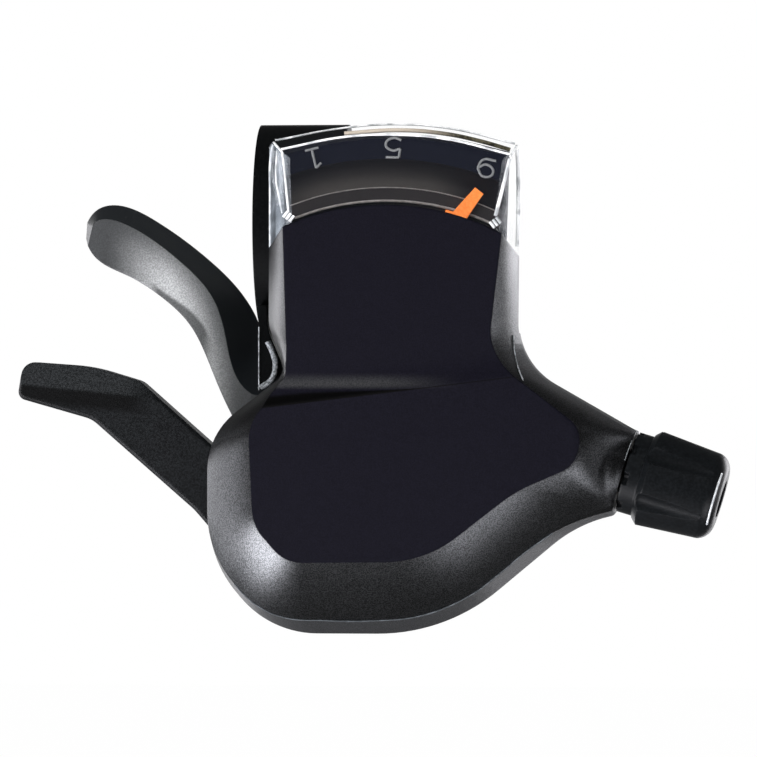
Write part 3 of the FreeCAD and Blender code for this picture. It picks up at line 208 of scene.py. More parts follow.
def metal(name, dark, light, roughness, brush_mm=(0.15, 2.0, 0.15)):
    """Satin metal with fine drawn lines."""
    look = Look(name, roughness, 0.5, 1.0)
    stretch = look.node("ShaderNodeMapping", Vector=look.place)
    stretch.inputs["Scale"].default_value = [1.0 / (size * MM) for size in brush_mm]
    drawn = look.node("ShaderNodeTexNoise", Vector=stretch.outputs["Vector"], Scale=1.0, Detail=2.0)
    lines = drawn.outputs["Fac"]
    look.set("Base Color", look.mix(lines, dark, light))
    look.set("Roughness", look.ramp(lines, 0.0, 1.0, roughness - BRUSH_SHARE, roughness + BRUSH_SHARE))
    look.bump(lines, BRUSH_DEPTH)
    return look.material


# The cover's finishes, with its painted highlight and painted shade, by places in mm across and up from the
# axle

BEVEL_TONES = grey(0.046, 0.03), grey(0.122, 0.03)
PANEL_TONES = (0.0030, 0.0028, 0.0058), (0.0056, 0.0053, 0.0100)
# Painted highlight for the ridge at the neck's foot, and painted shade for the hollow below it
RIDGE_PAINTED_HIGHLIGHT = grey(0.042, 0.02)
HOLLOW_PAINTED_SHADE = grey(0.0008)
# Painted shade for the cover's waist
WAIST_PAINTED_SHADE = grey(0.008)
COVER_GRAIN_MM = 0.17
COVER_GRAIN_DEPTH = 0.028
SATIN, MATTE = 0.24, 0.56
GRAIN_ROUGHNESS = 0.16
CROWN = 2.0
PANEL_TURN = (0.79, 0.83)
PANEL_SINK = (3.0, 2.0)
STEP_ACROSS, STEP_UP = (-13.2, 13.0, 0.4), (6.0, 12.5, 0.5)
RIDGE_RISE, RIDGE_FALL = (8.9, 9.7), (11.4, 9.8)
RIDGE_ACROSS = (11.4, -2.6)
RIDGE_GRAIN = (0.2, 0.8, 0.3, 0.9)
VALLEY_FOOT, VALLEY_SLOPE = 8.6, 0.123
VALLEY_ACROSS, VALLEY_DEPTH = (6.4, -14.4), (0.05, 2.0)
HOLLOW_START, HOLLOW_FULL = (-0.15, 0.10), 0.45
SKIRT_START = (0.1, 0.4)
SKIRT_TURN = (0.30, 0.70, 1.0, 0.45)
UPPER_TURN = (0.12, 0.40)
WAIST_ABOVE, WAIST_BELOW = (25.0, 12.0), (0.5, 6.5)
WAIST_ACROSS = (-12.0, -14.0)
WAIST_SHADE_SHARE = 0.85
BOSS_ACROSS, EDGE_MM = (21.0, 27.0), (0.35, 1.8)


def bevel_tone(look, speck, across, up):
    """Speckled gunmetal, with painted shade in the waist at the left of the neck's foot."""
    sides = look.mix(speck, *BEVEL_TONES)
    # Painted shade darkens the bevel in the concave waist at the left of the neck's foot
    waist = look.times(look.ramp(up, *WAIST_ABOVE), look.ramp(up, *WAIST_BELOW))
    painted_waist_shade = look.times(waist, look.ramp(across, *WAIST_ACROSS))
    return look.mix(look.times(painted_waist_shade, WAIST_SHADE_SHARE), sides, WAIST_PAINTED_SHADE)


def panel_tone(look, speck, fine, across, up):
    """Near-black, with a painted highlight along the ridge at the neck's foot and painted shade in the
    hollow below it.
    """
    panel = look.mix(speck, *PANEL_TONES)
    # Painted highlight along the ridge, then painted shade in the hollow below it
    painted_ridge_highlight = look.times(look.ramp(up, *RIDGE_RISE), look.ramp(up, *RIDGE_FALL))
    painted_ridge_highlight = look.times(painted_ridge_highlight, look.ramp(across, *RIDGE_ACROSS), look.ramp(fine, *RIDGE_GRAIN))
    panel = look.mix(painted_ridge_highlight, panel, RIDGE_PAINTED_HIGHLIGHT)
    above = look.minus(up, look.plus(look.times(across, VALLEY_SLOPE), VALLEY_FOOT))
    depth = look.ramp(across, *VALLEY_ACROSS, *VALLEY_DEPTH)
    painted_hollow_shade = look.times(look.ramp(above, *HOLLOW_START), look.ramp(above, depth, 0.0))
    return look.mix(look.ramp(painted_hollow_shade, 0.0, HOLLOW_FULL), panel, HOLLOW_PAINTED_SHADE)


def cover_look():
    """The cover's finishes: speckled gunmetal bevels, a near-black matte panel and a duller skirt."""
    look = Look("cover_two_tone", specular=0.15)
    across, level, up = (look.axis(letter) for letter in "XYZ")
    normal = look.face_normal()
    step = look.times(look.band(across, *STEP_ACROSS), look.band(up, *STEP_UP))
    near = look.ramp(level, *(PANEL_LEVEL + sink for sink in PANEL_SINK))
    flat = look.ramp(look.times(normal["Y"], -1.0), *PANEL_TURN)
    front = look.most(look.times(flat, near), step)
    fine = look.noise(COVER_GRAIN_MM)
    speck = look.ramp(fine, *SPECK)
    panel = panel_tone(look, speck, fine, across, up)
    look.set("Base Color", look.mix(front, bevel_tone(look, speck, across, up), panel))
    look.set("Metallic", look.minus(1.0, front))
    skirt = look.ramp(level, *(RIM_LEVEL + start for start in SKIRT_START))
    sideways = look.ramp(look.unsigned(normal["X"]), *SKIRT_TURN)
    dull = look.most(front, look.times(skirt, sideways), look.ramp(normal["Z"], *UPPER_TURN))
    gloss = look.ramp(dull, 0.0, 1.0, SATIN, MATTE)
    look.set("Roughness", look.plus(gloss, look.times(fine, GRAIN_ROUGHNESS)))
    slope = look.node("ShaderNodeMapRange", Value=level, From_Min=PANEL_LEVEL, From_Max=RIM_LEVEL)
    slant = slope.outputs["Result"]
    crown = look.times(slant, look.minus(1.0, slant))
    look.bump(fine, COVER_GRAIN_DEPTH, look.ramp(across, *BOSS_ACROSS, *EDGE_MM), crown, CROWN)
    return look.material


# The thumb lever bends round a centre below it: its crease is an arc, and its lower edge nearly one

BEND_CENTRE = (-51.6, 4.5)
CREASE_RADIUS, CREASE_RISE, CREASE_FALL = 30.5, 0.6, 4.2
EDGE_RADII, EDGE_ACROSS = (24.6, 27.1), (-35.5, -25.5)
EDGE_WIDTH = (1.1, 0.6)
EDGE_ENDS = (-34.5, -27.5, 2.0)
EDGE_SHADE_SHARE = 0.8
LIT_FROM_TIP, LIT_FROM_ROOT = (-43.0, -31.5), (-20.0, -30.5)
# Painted light on the thumb lever: a highlight in the middle of its front, shade by the crease and along
# the lower edge
THUMB_PAINTED_LIGHT_TONES = grey(0.050, 0.05), grey(0.52, 0.02)
THUMB_EDGE_PAINTED_SHADE = grey(0.03, 0.05)
# Painted shade for the face that is pushed, which would otherwise be the front's grey
THUMB_FACE_PAINTED_SHADE = grey(0.012, 0.15)
FLECK_TONE = grey(0.02)
FACE_TURN, FACE_LEAN = (0.80, 0.90), 0.6
CREASE_SHADE, FLECK = (0.15, 1.0), (0.36, 0.68, 0.45, 0.0)
LEVER_GRAIN_MM = 0.20
LEVER_BLOTCH_SHARE = 0.06


def thumb_look():
    """The thumb lever, one satin plastic with a fine fleck: its front is grey with a painted highlight in
    the middle and painted shade by the crease and the lower edge, and painted shade makes the face that is
    pushed black.
    """
    look = Look("thumb_painted_light", specular=0.35)
    normal = look.face_normal()
    outward = look.times(look.plus(normal["Y"], look.times(normal["X"], FACE_LEAN)), -1.0)
    fine = look.noise(LEVER_GRAIN_MM, FINE_DETAIL)
    across, bend = look.axis("X"), look.radius(*BEND_CENTRE)
    # Painted shade by the crease and a painted highlight in the middle of the front
    below = look.ramp(bend, CREASE_RADIUS + CREASE_RISE, CREASE_RADIUS - CREASE_FALL, *CREASE_SHADE)
    lit = look.times(look.ramp(across, *LIT_FROM_TIP), look.ramp(across, *LIT_FROM_ROOT), below)
    tone = look.mix(lit, *THUMB_PAINTED_LIGHT_TONES)
    # Painted shade along the lower edge
    from_edge = look.minus(bend, look.ramp(across, *EDGE_ACROSS, *EDGE_RADII))
    edge = look.times(look.ramp(from_edge, *EDGE_WIDTH), look.band(across, *EDGE_ENDS))
    tone = look.mix(look.times(edge, EDGE_SHADE_SHARE), tone, THUMB_EDGE_PAINTED_SHADE)
    face = look.mix(look.ramp(fine, *FLECK), tone, FLECK_TONE)
    # Painted shade: the face that is pushed is near black, the front grey
    look.set("Base Color", look.mix(look.ramp(outward, *FACE_TURN), THUMB_FACE_PAINTED_SHADE, face))
    look.blotch(0.40, LEVER_BLOTCH_SHARE)
    look.bump(fine, depth_mm=0.006, edge_mm=0.3)
    return look.material


# The finger lever's crease is a straight line along its tip

PAD_CREASE_ACROSS, PAD_CREASE_UP, PAD_CREASE_SLOPE = -47.5, 9.2, -0.102
# Painted highlight on the leaning top and painted shade below the crease, over the lever's own textured
# black
PAD_TOP_ABOVE = (-0.2, 0.3)
PAD_TOP_ACROSS, PAD_HOLLOW_ACROSS = (-33.5, -38.0), (-33.0, -37.0)
PAD_HOLLOW, PAD_SHADE_SHARE = (-1.6, -0.5, 1.4), 0.85
PAD_TONES = grey(0.004, 0.10), grey(0.012, 0.10)
PAD_TOP_PAINTED_HIGHLIGHT = grey(0.010, 0.08), grey(0.028, 0.08)
PAD_HOLLOW_PAINTED_SHADE = grey(0.0015)


def finger_look():
    """The finger lever: textured black, with a painted highlight on its leaning top and painted shade in
    the hollow below its crease.
    """
    look = Look("finger_black", specular=0.22)
    across = look.axis("X")
    fine = look.noise(LEVER_GRAIN_MM, FINE_DETAIL)
    speck = look.ramp(fine, *SPECK)
    along = look.minus(across, PAD_CREASE_ACROSS)
    above = look.minus(look.axis("Z"), look.plus(look.times(along, PAD_CREASE_SLOPE), PAD_CREASE_UP))
    # Painted highlight on the top and painted shade in the hollow below the crease
    top = look.times(look.ramp(above, *PAD_TOP_ABOVE), look.ramp(across, *PAD_TOP_ACROSS))
    painted_hollow_shade = look.times(look.band(above, *PAD_HOLLOW), look.ramp(across, *PAD_HOLLOW_ACROSS))
    face = look.mix(look.times(painted_hollow_shade, PAD_SHADE_SHARE), look.mix(speck, *PAD_TONES), PAD_HOLLOW_PAINTED_SHADE)
    look.set("Base Color", look.mix(top, face, look.mix(speck, *PAD_TOP_PAINTED_HIGHLIGHT)))
    look.blotch(0.50, LEVER_BLOTCH_SHARE)
    look.bump(fine, depth_mm=0.02, edge_mm=0.4)
    return look.material


# The lens: its clear walls, the painted highlights on its edges and the dark line in its top

CLEAR_TINT = (0.62, 0.70, 0.78, 1.0)
CLEAR_ALPHA = 0.004
WALL_TURN = (0.45, 0.80)
MILK = (-4.0, 4.0, 0.16, 0.05)
CLOUD_MM, CLOUDS = 2.5, (0.3, 0.7, 0.6, 1.5)
STREAK_MM, STREAKS = 2.2, (0.34, 0.56)
STREAK_TONES = grey(0.42, 0.04), grey(0.90, 0.01)
SHADE_ALONG = (1.0, 11.0)
SHADE_GRAIN_MM, SHADE_GRAIN = 0.35, (0.35, 0.65)
SHADE_DARKS = (0.008, 0.008, 0.004), (0.090, 0.080, 0.050)
SHADE_PALE = (0.46, 0.40, 0.33)


def clear_look():
    """Clear moulded plastic: hardly seen on its flat front, a little milky on its walls."""
    look = Look("clear_plastic", 0.04)
    sideways = look.ramp(look.unsigned(look.face_normal()["X"]), *WALL_TURN)
    milk = look.ramp(look.axis("X"), *MILK)
    cloudy = look.times(sideways, milk, look.ramp(look.noise(CLOUD_MM), *CLOUDS))
    look.set("Base Color", CLEAR_TINT)
    look.set("Alpha", look.plus(cloudy, CLEAR_ALPHA))
    return look.material


def lens_highlight_look():
    """Painted highlights on the edges of clear plastic, streaked where light is caught."""
    look = Look("lens_painted_highlight", 0.2)
    streaks = look.ramp(look.noise(STREAK_MM, FINE_DETAIL), *STREAKS)
    look.set("Base Color", look.mix(streaks, *STREAK_TONES))
    look.bump(streaks, depth_mm=0.01)
    return look.material


def lens_shade_look():
    """The dark line in the lens's top wall, paler towards the left."""
    look = Look("lens_shade", 0.4, 0.3)
    along = look.ramp(look.axis("X"), *SHADE_ALONG)
    grain = look.ramp(look.noise(SHADE_GRAIN_MM, FINE_DETAIL), *SHADE_GRAIN)
    look.set("Base Color", look.mix(along, SHADE_PALE, look.mix(grain, *SHADE_DARKS)))
    look.bump(grain, depth_mm=0.02)
    return look.material


# The dial, by rings round the axle

BAND_RADIUS = 40.1
RIB_OUTER = 36.3
RIB_INNER = 34.5
BAND_TONE = (0.0038, 0.0044, 0.0105)
COVE_PAINTED_LIGHT_TONES = (0.007, 0.006, 0.008), (0.045, 0.041, 0.039)
RIB_TONE = (0.026, 0.023, 0.024)
COVE_LIT = (-9.0, 5.0, 8.0)
BAND_FADE, RIB_FADE = 0.05, 0.1
DIAL_GRAIN_MM, DIAL_GRAIN_SHARE = 0.2, 0.3


def dial_look():
    """The dial: a near-black blue number band, a cove with painted light that is lighter towards the axle
    and painted shade at its ends, and a dark rib.
    """
    look = Look("dial_plastic", specular=0.12)
    radius = look.radius()
    fine = look.noise(DIAL_GRAIN_MM)
    # Painted light on the cove: lighter towards the axle, fading to painted shade at both ends
    inward = look.ramp(radius, BAND_RADIUS, RIB_OUTER)
    shade = look.mix(look.times(inward, look.band(look.axis("X"), *COVE_LIT)), *COVE_PAINTED_LIGHT_TONES)
    shade = look.mix(look.ramp(radius, BAND_RADIUS - BAND_FADE, BAND_RADIUS + BAND_FADE), shade, BAND_TONE)
    shade = look.mix(look.ramp(radius, RIB_OUTER + RIB_FADE, RIB_OUTER), shade, RIB_TONE)
    look.set("Base Color", look.mix(look.times(fine, DIAL_GRAIN_SHARE), shade, grey(0.0)))
    look.blotch(0.50, share=0.08, size_mm=4.0)
    look.bump(fine, depth_mm=0.006)
    return look.material


FINISHES = {
    "top_cover": cover_look(),
    "indicator_lens": clear_look(),
    "dial_plate": dial_look(),
    "clamp_bracket": plastic("bracket_black", grey(0.002, 0.1), grey(0.004, 0.1), 0.42, 0.3, 0.008,
                             specular=0.14, edge_mm=0.25),
    "rear_cover": plastic("rear_black", grey(0.009, 0.08), grey(0.020, 0.08), 0.5, 0.35, 0.03,
                          specular=0.3, edge_mm=0.4),
    "needle": plastic("needle_orange", (0.94, 0.22, 0.040), (1.0, 0.28, 0.065), 0.45, 0.4, 0.004),
    "main_lever_paddle": thumb_look(),
    "release_lever_pad": finger_look(),
    "adjuster_knob": plastic("knob_black", grey(0.004, 0.14), grey(0.008, 0.14), 0.36, 0.3, 0.005,
                             specular=0.22, edge_mm=0.35),
}
GEAR_LOOK = plastic("gear_nylon", grey(0.36), grey(0.42), 0.5, 0.5, 0.004)
STEEL_LOOK = metal("turned_steel", grey(0.38), grey(0.50), 0.32)
PLATE_LOOK = metal("plate_steel", grey(0.30), grey(0.40), 0.40, (1.5, 0.15, 0.15))
SPRING_LOOK = metal("spring_steel", grey(0.22), grey(0.32), 0.35, (0.2, 0.2, 0.2))
BOLT_LOOK = metal("bolt_black", grey(0.06), grey(0.10), 0.38)

for group, look in (
    (("indicator_idler", "spring_bush", "cable_drum"), GEAR_LOOK),
    (("main_axle", "axle_nut", "axle_washer", "cover_screws"), STEEL_LOOK),
    (("hold_pawl_pin", "feed_pawl_pin"), STEEL_LOOK),
    (("ratchet_wheel", "hold_pawl", "feed_pawl", "main_lever_plate", "release_lever_plate"), PLATE_LOOK),
    (("hold_pawl_spring", "feed_pawl_spring", "main_lever_spring", "release_lever_spring"), SPRING_LOOK),
    (("clamp_bolt", "clamp_nut", "adjuster_screw"), BOLT_LOOK),
):
    FINISHES.update({name: look for name in group})

for name, item in nodes.items():
    item.data.materials.clear()
    item.data.materials.append(FINISHES[name])


# Stage

AMBIENT = 0.30
STUDIO_DIM = 0.05
FLOOR_LEVEL = -0.45
FLOOR_HALF = 4.0
FLOOR_GLOW = 0.97
FLOOR_PAINT = (0.08, 0.08, 0.08, 1.0)
FLOOR_FAR = (0.5, 2.0)
FLOOR_CORNERS = ((-1, -1), (1, -1), (1, 1), (-1, 1))
WHITE = (1.0, 1.0, 1.0)
BEHIND = (0.35, 0.85)
LEVEL_TOP, LEVEL_FOOT = (0.45, 0.10), (-0.60, -0.20)


class Rays(Nodes):
    """The nodes of the world or the floor, which tell kinds of rays apart."""

    def __init__(self, tree):
        super().__init__(tree)
        self.path = self.node("ShaderNodeLightPath").outputs

    def split(self, coordinate):
        """The three parts of a texture coordinate."""
        place = self.node("ShaderNodeTexCoord").outputs[coordinate]
        return self.node("ShaderNodeSeparateXYZ", Vector=place).outputs

    def white_rays(self):
        """1 for camera, glossy and transmission rays, and 0 for the rest."""
        mirrored = self.most(self.path["Is Glossy Ray"], self.path["Is Transmission Ray"])
        return self.most(self.path["Is Camera Ray"], mirrored)


def set_world():
    """White to the camera and level behind the object, and dim elsewhere as a studio is."""
    world = bpy.data.worlds.new("studio")
    scene.world = world
    world.use_nodes = True
    rays = Rays(world.node_tree)
    way = rays.split("Generated")
    level = rays.times(rays.ramp(way["Z"], *LEVEL_TOP), rays.ramp(way["Z"], *LEVEL_FOOT))
    bright = rays.times(rays.ramp(way["Y"], *BEHIND), level)
    studio = rays.ramp(bright, 0.0, 1.0, STUDIO_DIM, 1.0)
    seen = rays.most(rays.path["Is Camera Ray"], studio)
    background = world.node_tree.nodes["Background"]
    background.inputs["Color"].default_value = (*WHITE, 1.0)
    rays.feed(background.inputs["Strength"], rays.ramp(rays.white_rays(), 0.0, 1.0, AMBIENT, seen))


def add_floor():
    """A pale floor that keeps shadows, white to the camera and, far behind, in reflections."""
    mesh = bpy.data.meshes.new("floor")
    corners = [(x * FLOOR_HALF, y * FLOOR_HALF, FLOOR_LEVEL) for x, y in FLOOR_CORNERS]
    mesh.from_pydata(corners, [], [(0, 1, 2, 3)])
    floor = bpy.data.objects.new("floor", mesh)
    scene.collection.objects.link(floor)
    material = bpy.data.materials.new("floor_white")
    material.use_nodes = True
    nodes_here = material.node_tree.nodes
    nodes_here.remove(nodes_here["Principled BSDF"])
    rays = Rays(material.node_tree)
    paint = rays.node("ShaderNodeBsdfDiffuse", Color=FLOOR_PAINT)
    far = rays.ramp(rays.split("Object")["Y"], *FLOOR_FAR)
    seen = rays.most(rays.path["Is Camera Ray"], rays.times(rays.white_rays(), far))
    glow = rays.node("ShaderNodeEmission", Strength=rays.times(seen, FLOOR_GLOW))
    both = rays.node("ShaderNodeAddShader")
    rays.feed(both.inputs[0], paint.outputs[0])
    rays.feed(both.inputs[1], glow.outputs[0])
    rays.feed(nodes_here["Material Output"].inputs["Surface"], both.outputs[0])
    mesh.materials.append(material)


TARGET = Vector((10.2, 0.0, -21.2)) * MM
COOL = (0.96, 0.95, 1.0)


def aim(item, place):
    """Puts a lamp or the camera at a place and turns it to the part's middle."""
    item.location = place
    item.rotation_euler = (TARGET - place).to_track_quat("-Z", "Y").to_euler()


def add_light(name, place, size, power, mirrored):
    """A soft lamp; one that isn't mirrored only fills, and leaves no glint on the flat front."""
    lamp = bpy.data.lights.new(name, "AREA")
    lamp.shape = "RECTANGLE"
    lamp.size, lamp.size_y = size
    lamp.energy = power
    lamp.color = COOL if mirrored else WHITE
    item = bpy.data.objects.new(name, lamp)
    item.visible_glossy = mirrored
    item.visible_camera = False
    scene.collection.objects.link(item)
    aim(item, Vector(place))


# Each lamp: its name, place and size in metres, power in watts, and whether reflections show it
LIGHTS = (
    ("left_low", (-0.46, 0.05, -0.16), (0.25, 0.30), 0.70, True),
    ("left_floor", (-0.34, -0.20, -0.36), (0.32, 0.30), 4.0, True),
    ("front_left", (-0.43, -0.50, 0.20), (0.35, 0.35), 4.0, False),
    ("front_top", (0.20, -0.55, 0.45), (0.30, 0.30), 3.0, False),
    ("right", (0.60, 0.05, -0.12), (0.25, 0.40), 0.7, True),
    ("left_back", (-0.56, 0.46, 0.0), (0.45, 0.30), 1.0, True),
    ("right_back", (0.50, 0.66, 0.05), (0.30, 0.45), 1.7, True),
    ("low_right", (0.28, -0.28, -0.36), (0.30, 0.26), 0.9, True),
    ("lip_right", (0.28, 0.80, -0.36), (0.35, 0.25), 0.40, True),
    ("lip_left", (-0.36, 0.85, -0.36), (0.30, 0.25), 0.40, True),
    ("back_high", (0.20, 0.60, 0.36), (0.35, 0.35), 4.0, False),
    ("back_low", (-0.42, 0.50, -0.20), (0.30, 0.30), 1.5, False),
)

CAMERA_TURN = math.radians(3.5)
CAMERA_REACH = 0.45
LENS = 152.0
SENSOR = 36.0
CLIP_START = 0.01


def add_camera():
    """A long lens, a little to the right of square on."""
    camera = bpy.data.cameras.new("camera")
    camera.sensor_width = SENSOR
    camera.lens = LENS
    camera.clip_start = CLIP_START
    item = bpy.data.objects.new("camera", camera)
    scene.collection.objects.link(item)
    aim(item, TARGET + CAMERA_REACH * Vector((math.sin(CAMERA_TURN), -math.cos(CAMERA_TURN), 0.0)))
    scene.camera = item


set_world()
add_floor()
for light in LIGHTS:
    add_light(*light)
add_camera()


# Fine beads: printed lines, painted highlights on lit edges and a line of shade

BEAD_ROUNDS = 2
ARC_STEPS = 8


def spot(across, level, up):
    """A place on the part, in metres."""
    return (AXLE + Vector((across, level, up))) * MM


def bead(name, strokes, radius, look, body):
    """Round beads, each smooth through its own few points."""
    curve = bpy.data.curves.new(name, "CURVE")
    curve.dimensions = "3D"
    curve.bevel_depth = radius * MM
    curve.bevel_resolution = BEAD_ROUNDS
    curve.use_fill_caps = True
    for points in strokes:
        spline = curve.splines.new("BEZIER")
        spline.bezier_points.add(len(points) - 1)
        for knot, point in zip(spline.bezier_points, points):
            knot.co = point
            knot.handle_left_type = knot.handle_right_type = "AUTO"
    curve.materials.append(look)
    item = bpy.data.objects.new(name, curve)
    scene.collection.objects.link(item)
    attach(item, body)


def level_line(level, points):
    """Points across and up, all at one level."""
    return [spot(across, level, up) for across, up in points]


def arc_angles(start, end):
    """Even steps from one angle in degrees to another, in radians."""
    return [math.radians(start + (end - start) * step / ARC_STEPS) for step in range(ARC_STEPS + 1)]


def ring_arc(radius, level, arc):
    """Points on an arc round the axle, in degrees from straight up."""
    return [spot(radius * math.sin(a), level, radius * math.cos(a)) for a in arc_angles(*arc)]


# Painted highlights on the edges of the lens: each bead's name, level, radius and points across and up

# A painted highlight finish for the lens's edges, corners and feet
EDGE_HIGHLIGHT_LOOK = lens_highlight_look()
SHADE_LOOK = lens_shade_look()
LENS_FRONT = PANEL_LEVEL + 0.25
LENS_MIDDLE = -20.0
LENS_EDGE_HIGHLIGHTS = (
    ("lens_front_arc", LENS_FRONT, 0.16,
     ((-13.8, 41.2), (-5.5, 42.8), (1.0, 43.1), (8.2, 42.5), (16.9, 40.4))),
    ("lens_back_arc", RIM_LEVEL, 0.14,
     ((-15.2, 42.9), (-6.1, 44.5), (0.6, 45.0), (8.6, 44.4), (17.4, 42.3))),
    ("lens_left_front", LENS_FRONT, 0.15, ((-13.6, 40.8), (-13.2, 36.9), (-12.8, 32.8))),
    ("lens_left_middle", LENS_MIDDLE, 0.12, ((-14.6, 41.2), (-14.7, 37.1), (-14.5, 35.9), (-13.9, 32.8))),
    ("lens_left_back", RIM_LEVEL, 0.15, ((-15.5, 42.3), (-15.8, 40.8), (-15.9, 34.8), (-15.9, 28.4))),
    ("lens_right_front", LENS_FRONT, 0.24, ((16.8, 39.8), (15.9, 36.0), (14.9, 32.2))),
    ("lens_right_back", RIM_LEVEL, 0.28, ((17.7, 41.5), (17.8, 39.4), (17.8, 30.6), (17.7, 28.4))),
)
for name, level, radius, points in LENS_EDGE_HIGHLIGHTS:
    bead(name, [level_line(level, points)], radius, EDGE_HIGHLIGHT_LOOK, "housing")

CORNER_BEAD = 0.16
LENS_CORNERS = (
    ((-13.7, LENS_FRONT, 40.9), (-14.6, LENS_MIDDLE, 41.8), (-15.4, RIM_LEVEL, 42.6)),
    ((16.9, LENS_FRONT, 40.1), (17.3, LENS_MIDDLE, 41.0), (17.6, RIM_LEVEL, 42.0)),
)
CORNER_LINES = [[spot(*place) for place in corner] for corner in LENS_CORNERS]
bead("lens_corners", CORNER_LINES, CORNER_BEAD, EDGE_HIGHLIGHT_LOOK, "housing")

SHADE_LEVEL, SHADE_BEAD = -18.5, 0.28
SHADE_LINE = ((-5.6, 43.6), (1.9, 44.0), (8.0, 43.5), (12.7, 42.5), (16.8, 41.3))
bead("lens_top_shade", [level_line(SHADE_LEVEL, SHADE_LINE)], SHADE_BEAD, SHADE_LOOK, "housing")

FOOT_RIBS = 3
FOOT_BEAD = 0.19
RIB_PITCH = 0.42
RIB_DROP = 0.7
RIB_LEAN, RIB_HALF = 0.3, 0.4


def lens_foot(name, across, up, side):
    """The ribbed snap foot at a lower corner of the lens's front, its ribs drawn as painted highlights."""
    ribs = []
    for rib in range(FOOT_RIBS):
        left = across + side * rib * RIB_PITCH
        low = up - rib * RIB_PITCH * RIB_DROP
        lean = side * RIB_LEAN
        ribs.append(level_line(LENS_FRONT, ((left - lean, low - RIB_HALF), (left + lean, low + RIB_HALF))))
    bead(name, ribs, FOOT_BEAD, EDGE_HIGHLIGHT_LOOK, "housing")


lens_foot("lens_left_foot", -13.2, 32.5, 1)
lens_foot("lens_right_foot", 15.3, 31.6, -1)


# Painted highlights on the lit edges of the dial's rib

# A painted highlight finish for the rib's edges
ARC_HIGHLIGHT_LOOK = plastic("dial_edge_highlight", (0.17, 0.155, 0.15), (0.23, 0.215, 0.21), 0.4, 0.8, 0.002)
RIB_ARC = (-21.0, 25.0)
for name, radius, size in (("dial_outer_highlight", RIB_OUTER, 0.08), ("dial_inner_highlight", RIB_INNER, 0.19)):
    bead(name, [ring_arc(radius, RIB_LEVEL, RIB_ARC)], size, ARC_HIGHLIGHT_LOOK, "housing")


# Dial numbers, each drawn with a few strokes in a box of unit height

NUMBER_LOOK = plastic("number_grey", grey(0.16, 0.03), grey(0.20, 0.03), 0.5, 0.3, 0.002)
NUMBER_HEIGHT = 2.6
NUMBER_STROKE = 0.17
NUMBERS = (
    ("number_1", 41.3, -13.5, (((0.0, 0.0), (0.0, 1.0)), ((0.0, 1.0), (-0.32, 0.80)),
                               ((-0.36, 0.0), (0.36, 0.0)))),
    ("number_5", 41.6, 1.5, (((0.38, 1.0), (-0.30, 1.0)), ((-0.30, 1.0), (-0.36, 0.55)),
                             ((-0.36, 0.55), (0.05, 0.64), (0.40, 0.34), (0.05, 0.0), (-0.40, 0.10)))),
    ("number_9", 41.2, 19.3, (((0.42, 0.68), (0.0, 1.0), (-0.42, 0.68), (0.0, 0.36), (0.42, 0.68)),
                              ((0.42, 0.68), (0.30, 0.20), (-0.36, 0.02)))),
)


def add_number(name, radius, degrees, strokes):
    """A printed number on the dial's band, with its top towards the axle."""
    angle = math.radians(degrees)
    up = Vector((-math.sin(angle), 0.0, -math.cos(angle))) * NUMBER_HEIGHT
    across = Vector((-math.cos(angle), 0.0, math.sin(angle))) * NUMBER_HEIGHT
    middle = AXLE + Vector((0.0, BAND_LEVEL, 0.0)) - up.normalized() * radius
    lines = [[(middle + across * u + up * (v - 0.5)) * MM for u, v in stroke] for stroke in strokes]
    bead(name, lines, NUMBER_STROKE, NUMBER_LOOK, "housing")


for number in NUMBERS:
    add_number(*number)


# Painted highlights on the lit edges of the cover and the bracket's web

# A painted highlight finish for the lit edges of the cover, the web and the boss
RIM_HIGHLIGHT_LOOK = plastic("painted_edge_highlight", grey(0.10, 0.06), grey(0.36, 0.06), 0.4, 0.3, 0.03)
WAIST_LEVEL, WAIST_BEAD = -12.2, 0.42
WAIST_LINE = ((-16.6, 15.6), (-15.9, 14.1), (-15.5, 12.1), (-16.1, 10.3), (-17.6, 9.2))
bead("waist_edge", [level_line(WAIST_LEVEL, WAIST_LINE)], WAIST_BEAD, RIM_HIGHLIGHT_LOOK, "housing")
WEB_LEVEL, WEB_BEAD = -12.1, 0.10
WEB_LINE = ((-17.8, 17.6), (-17.8, 8.9))
bead("web_edge", [level_line(WEB_LEVEL, WEB_LINE)], WEB_BEAD, RIM_HIGHLIGHT_LOOK, "housing")


# Lit edges of the boss and the knob, on circles round the adjuster's tilted axis

BARREL_TILT = math.radians(16.5)
BARREL_LIFT = math.radians(7.0)
BARREL_AXIS = Vector((math.cos(BARREL_LIFT) * math.cos(BARREL_TILT), -math.sin(BARREL_LIFT),
                      -math.cos(BARREL_LIFT) * math.sin(BARREL_TILT)))
CABLE_RADIUS = 7.2
CABLE_LEVEL = -9.2
BARREL_START = AXLE + Vector((CABLE_RADIUS * math.sin(BARREL_TILT), CABLE_LEVEL,
                              CABLE_RADIUS * math.cos(BARREL_TILT)))
BARREL_UP = Vector((math.sin(BARREL_TILT), 0.0, math.cos(BARREL_TILT)))
BARREL_FRONT = BARREL_UP.cross(BARREL_AXIS) * -1.0


def barrel_arc(along, radius, arc):
    """Points on a circle round the adjuster, in degrees from its top towards the front."""
    centre = BARREL_START + BARREL_AXIS * along
    ways = [BARREL_UP * math.cos(a) + BARREL_FRONT * math.sin(a) for a in arc_angles(*arc)]
    return [(centre + way * radius) * MM for way in ways]


BOSS_REACH, BOSS_INSET = 32.0, 0.1
BOSS_RADIUS, BOSS_ARC, BOSS_BEAD = 5.66, (10.0, 75.0), 0.08
BOSS_LINE = barrel_arc(BOSS_REACH - BOSS_INSET, BOSS_RADIUS, BOSS_ARC)
bead("boss_edge", [BOSS_LINE], BOSS_BEAD, RIM_HIGHLIGHT_LOOK, "housing")

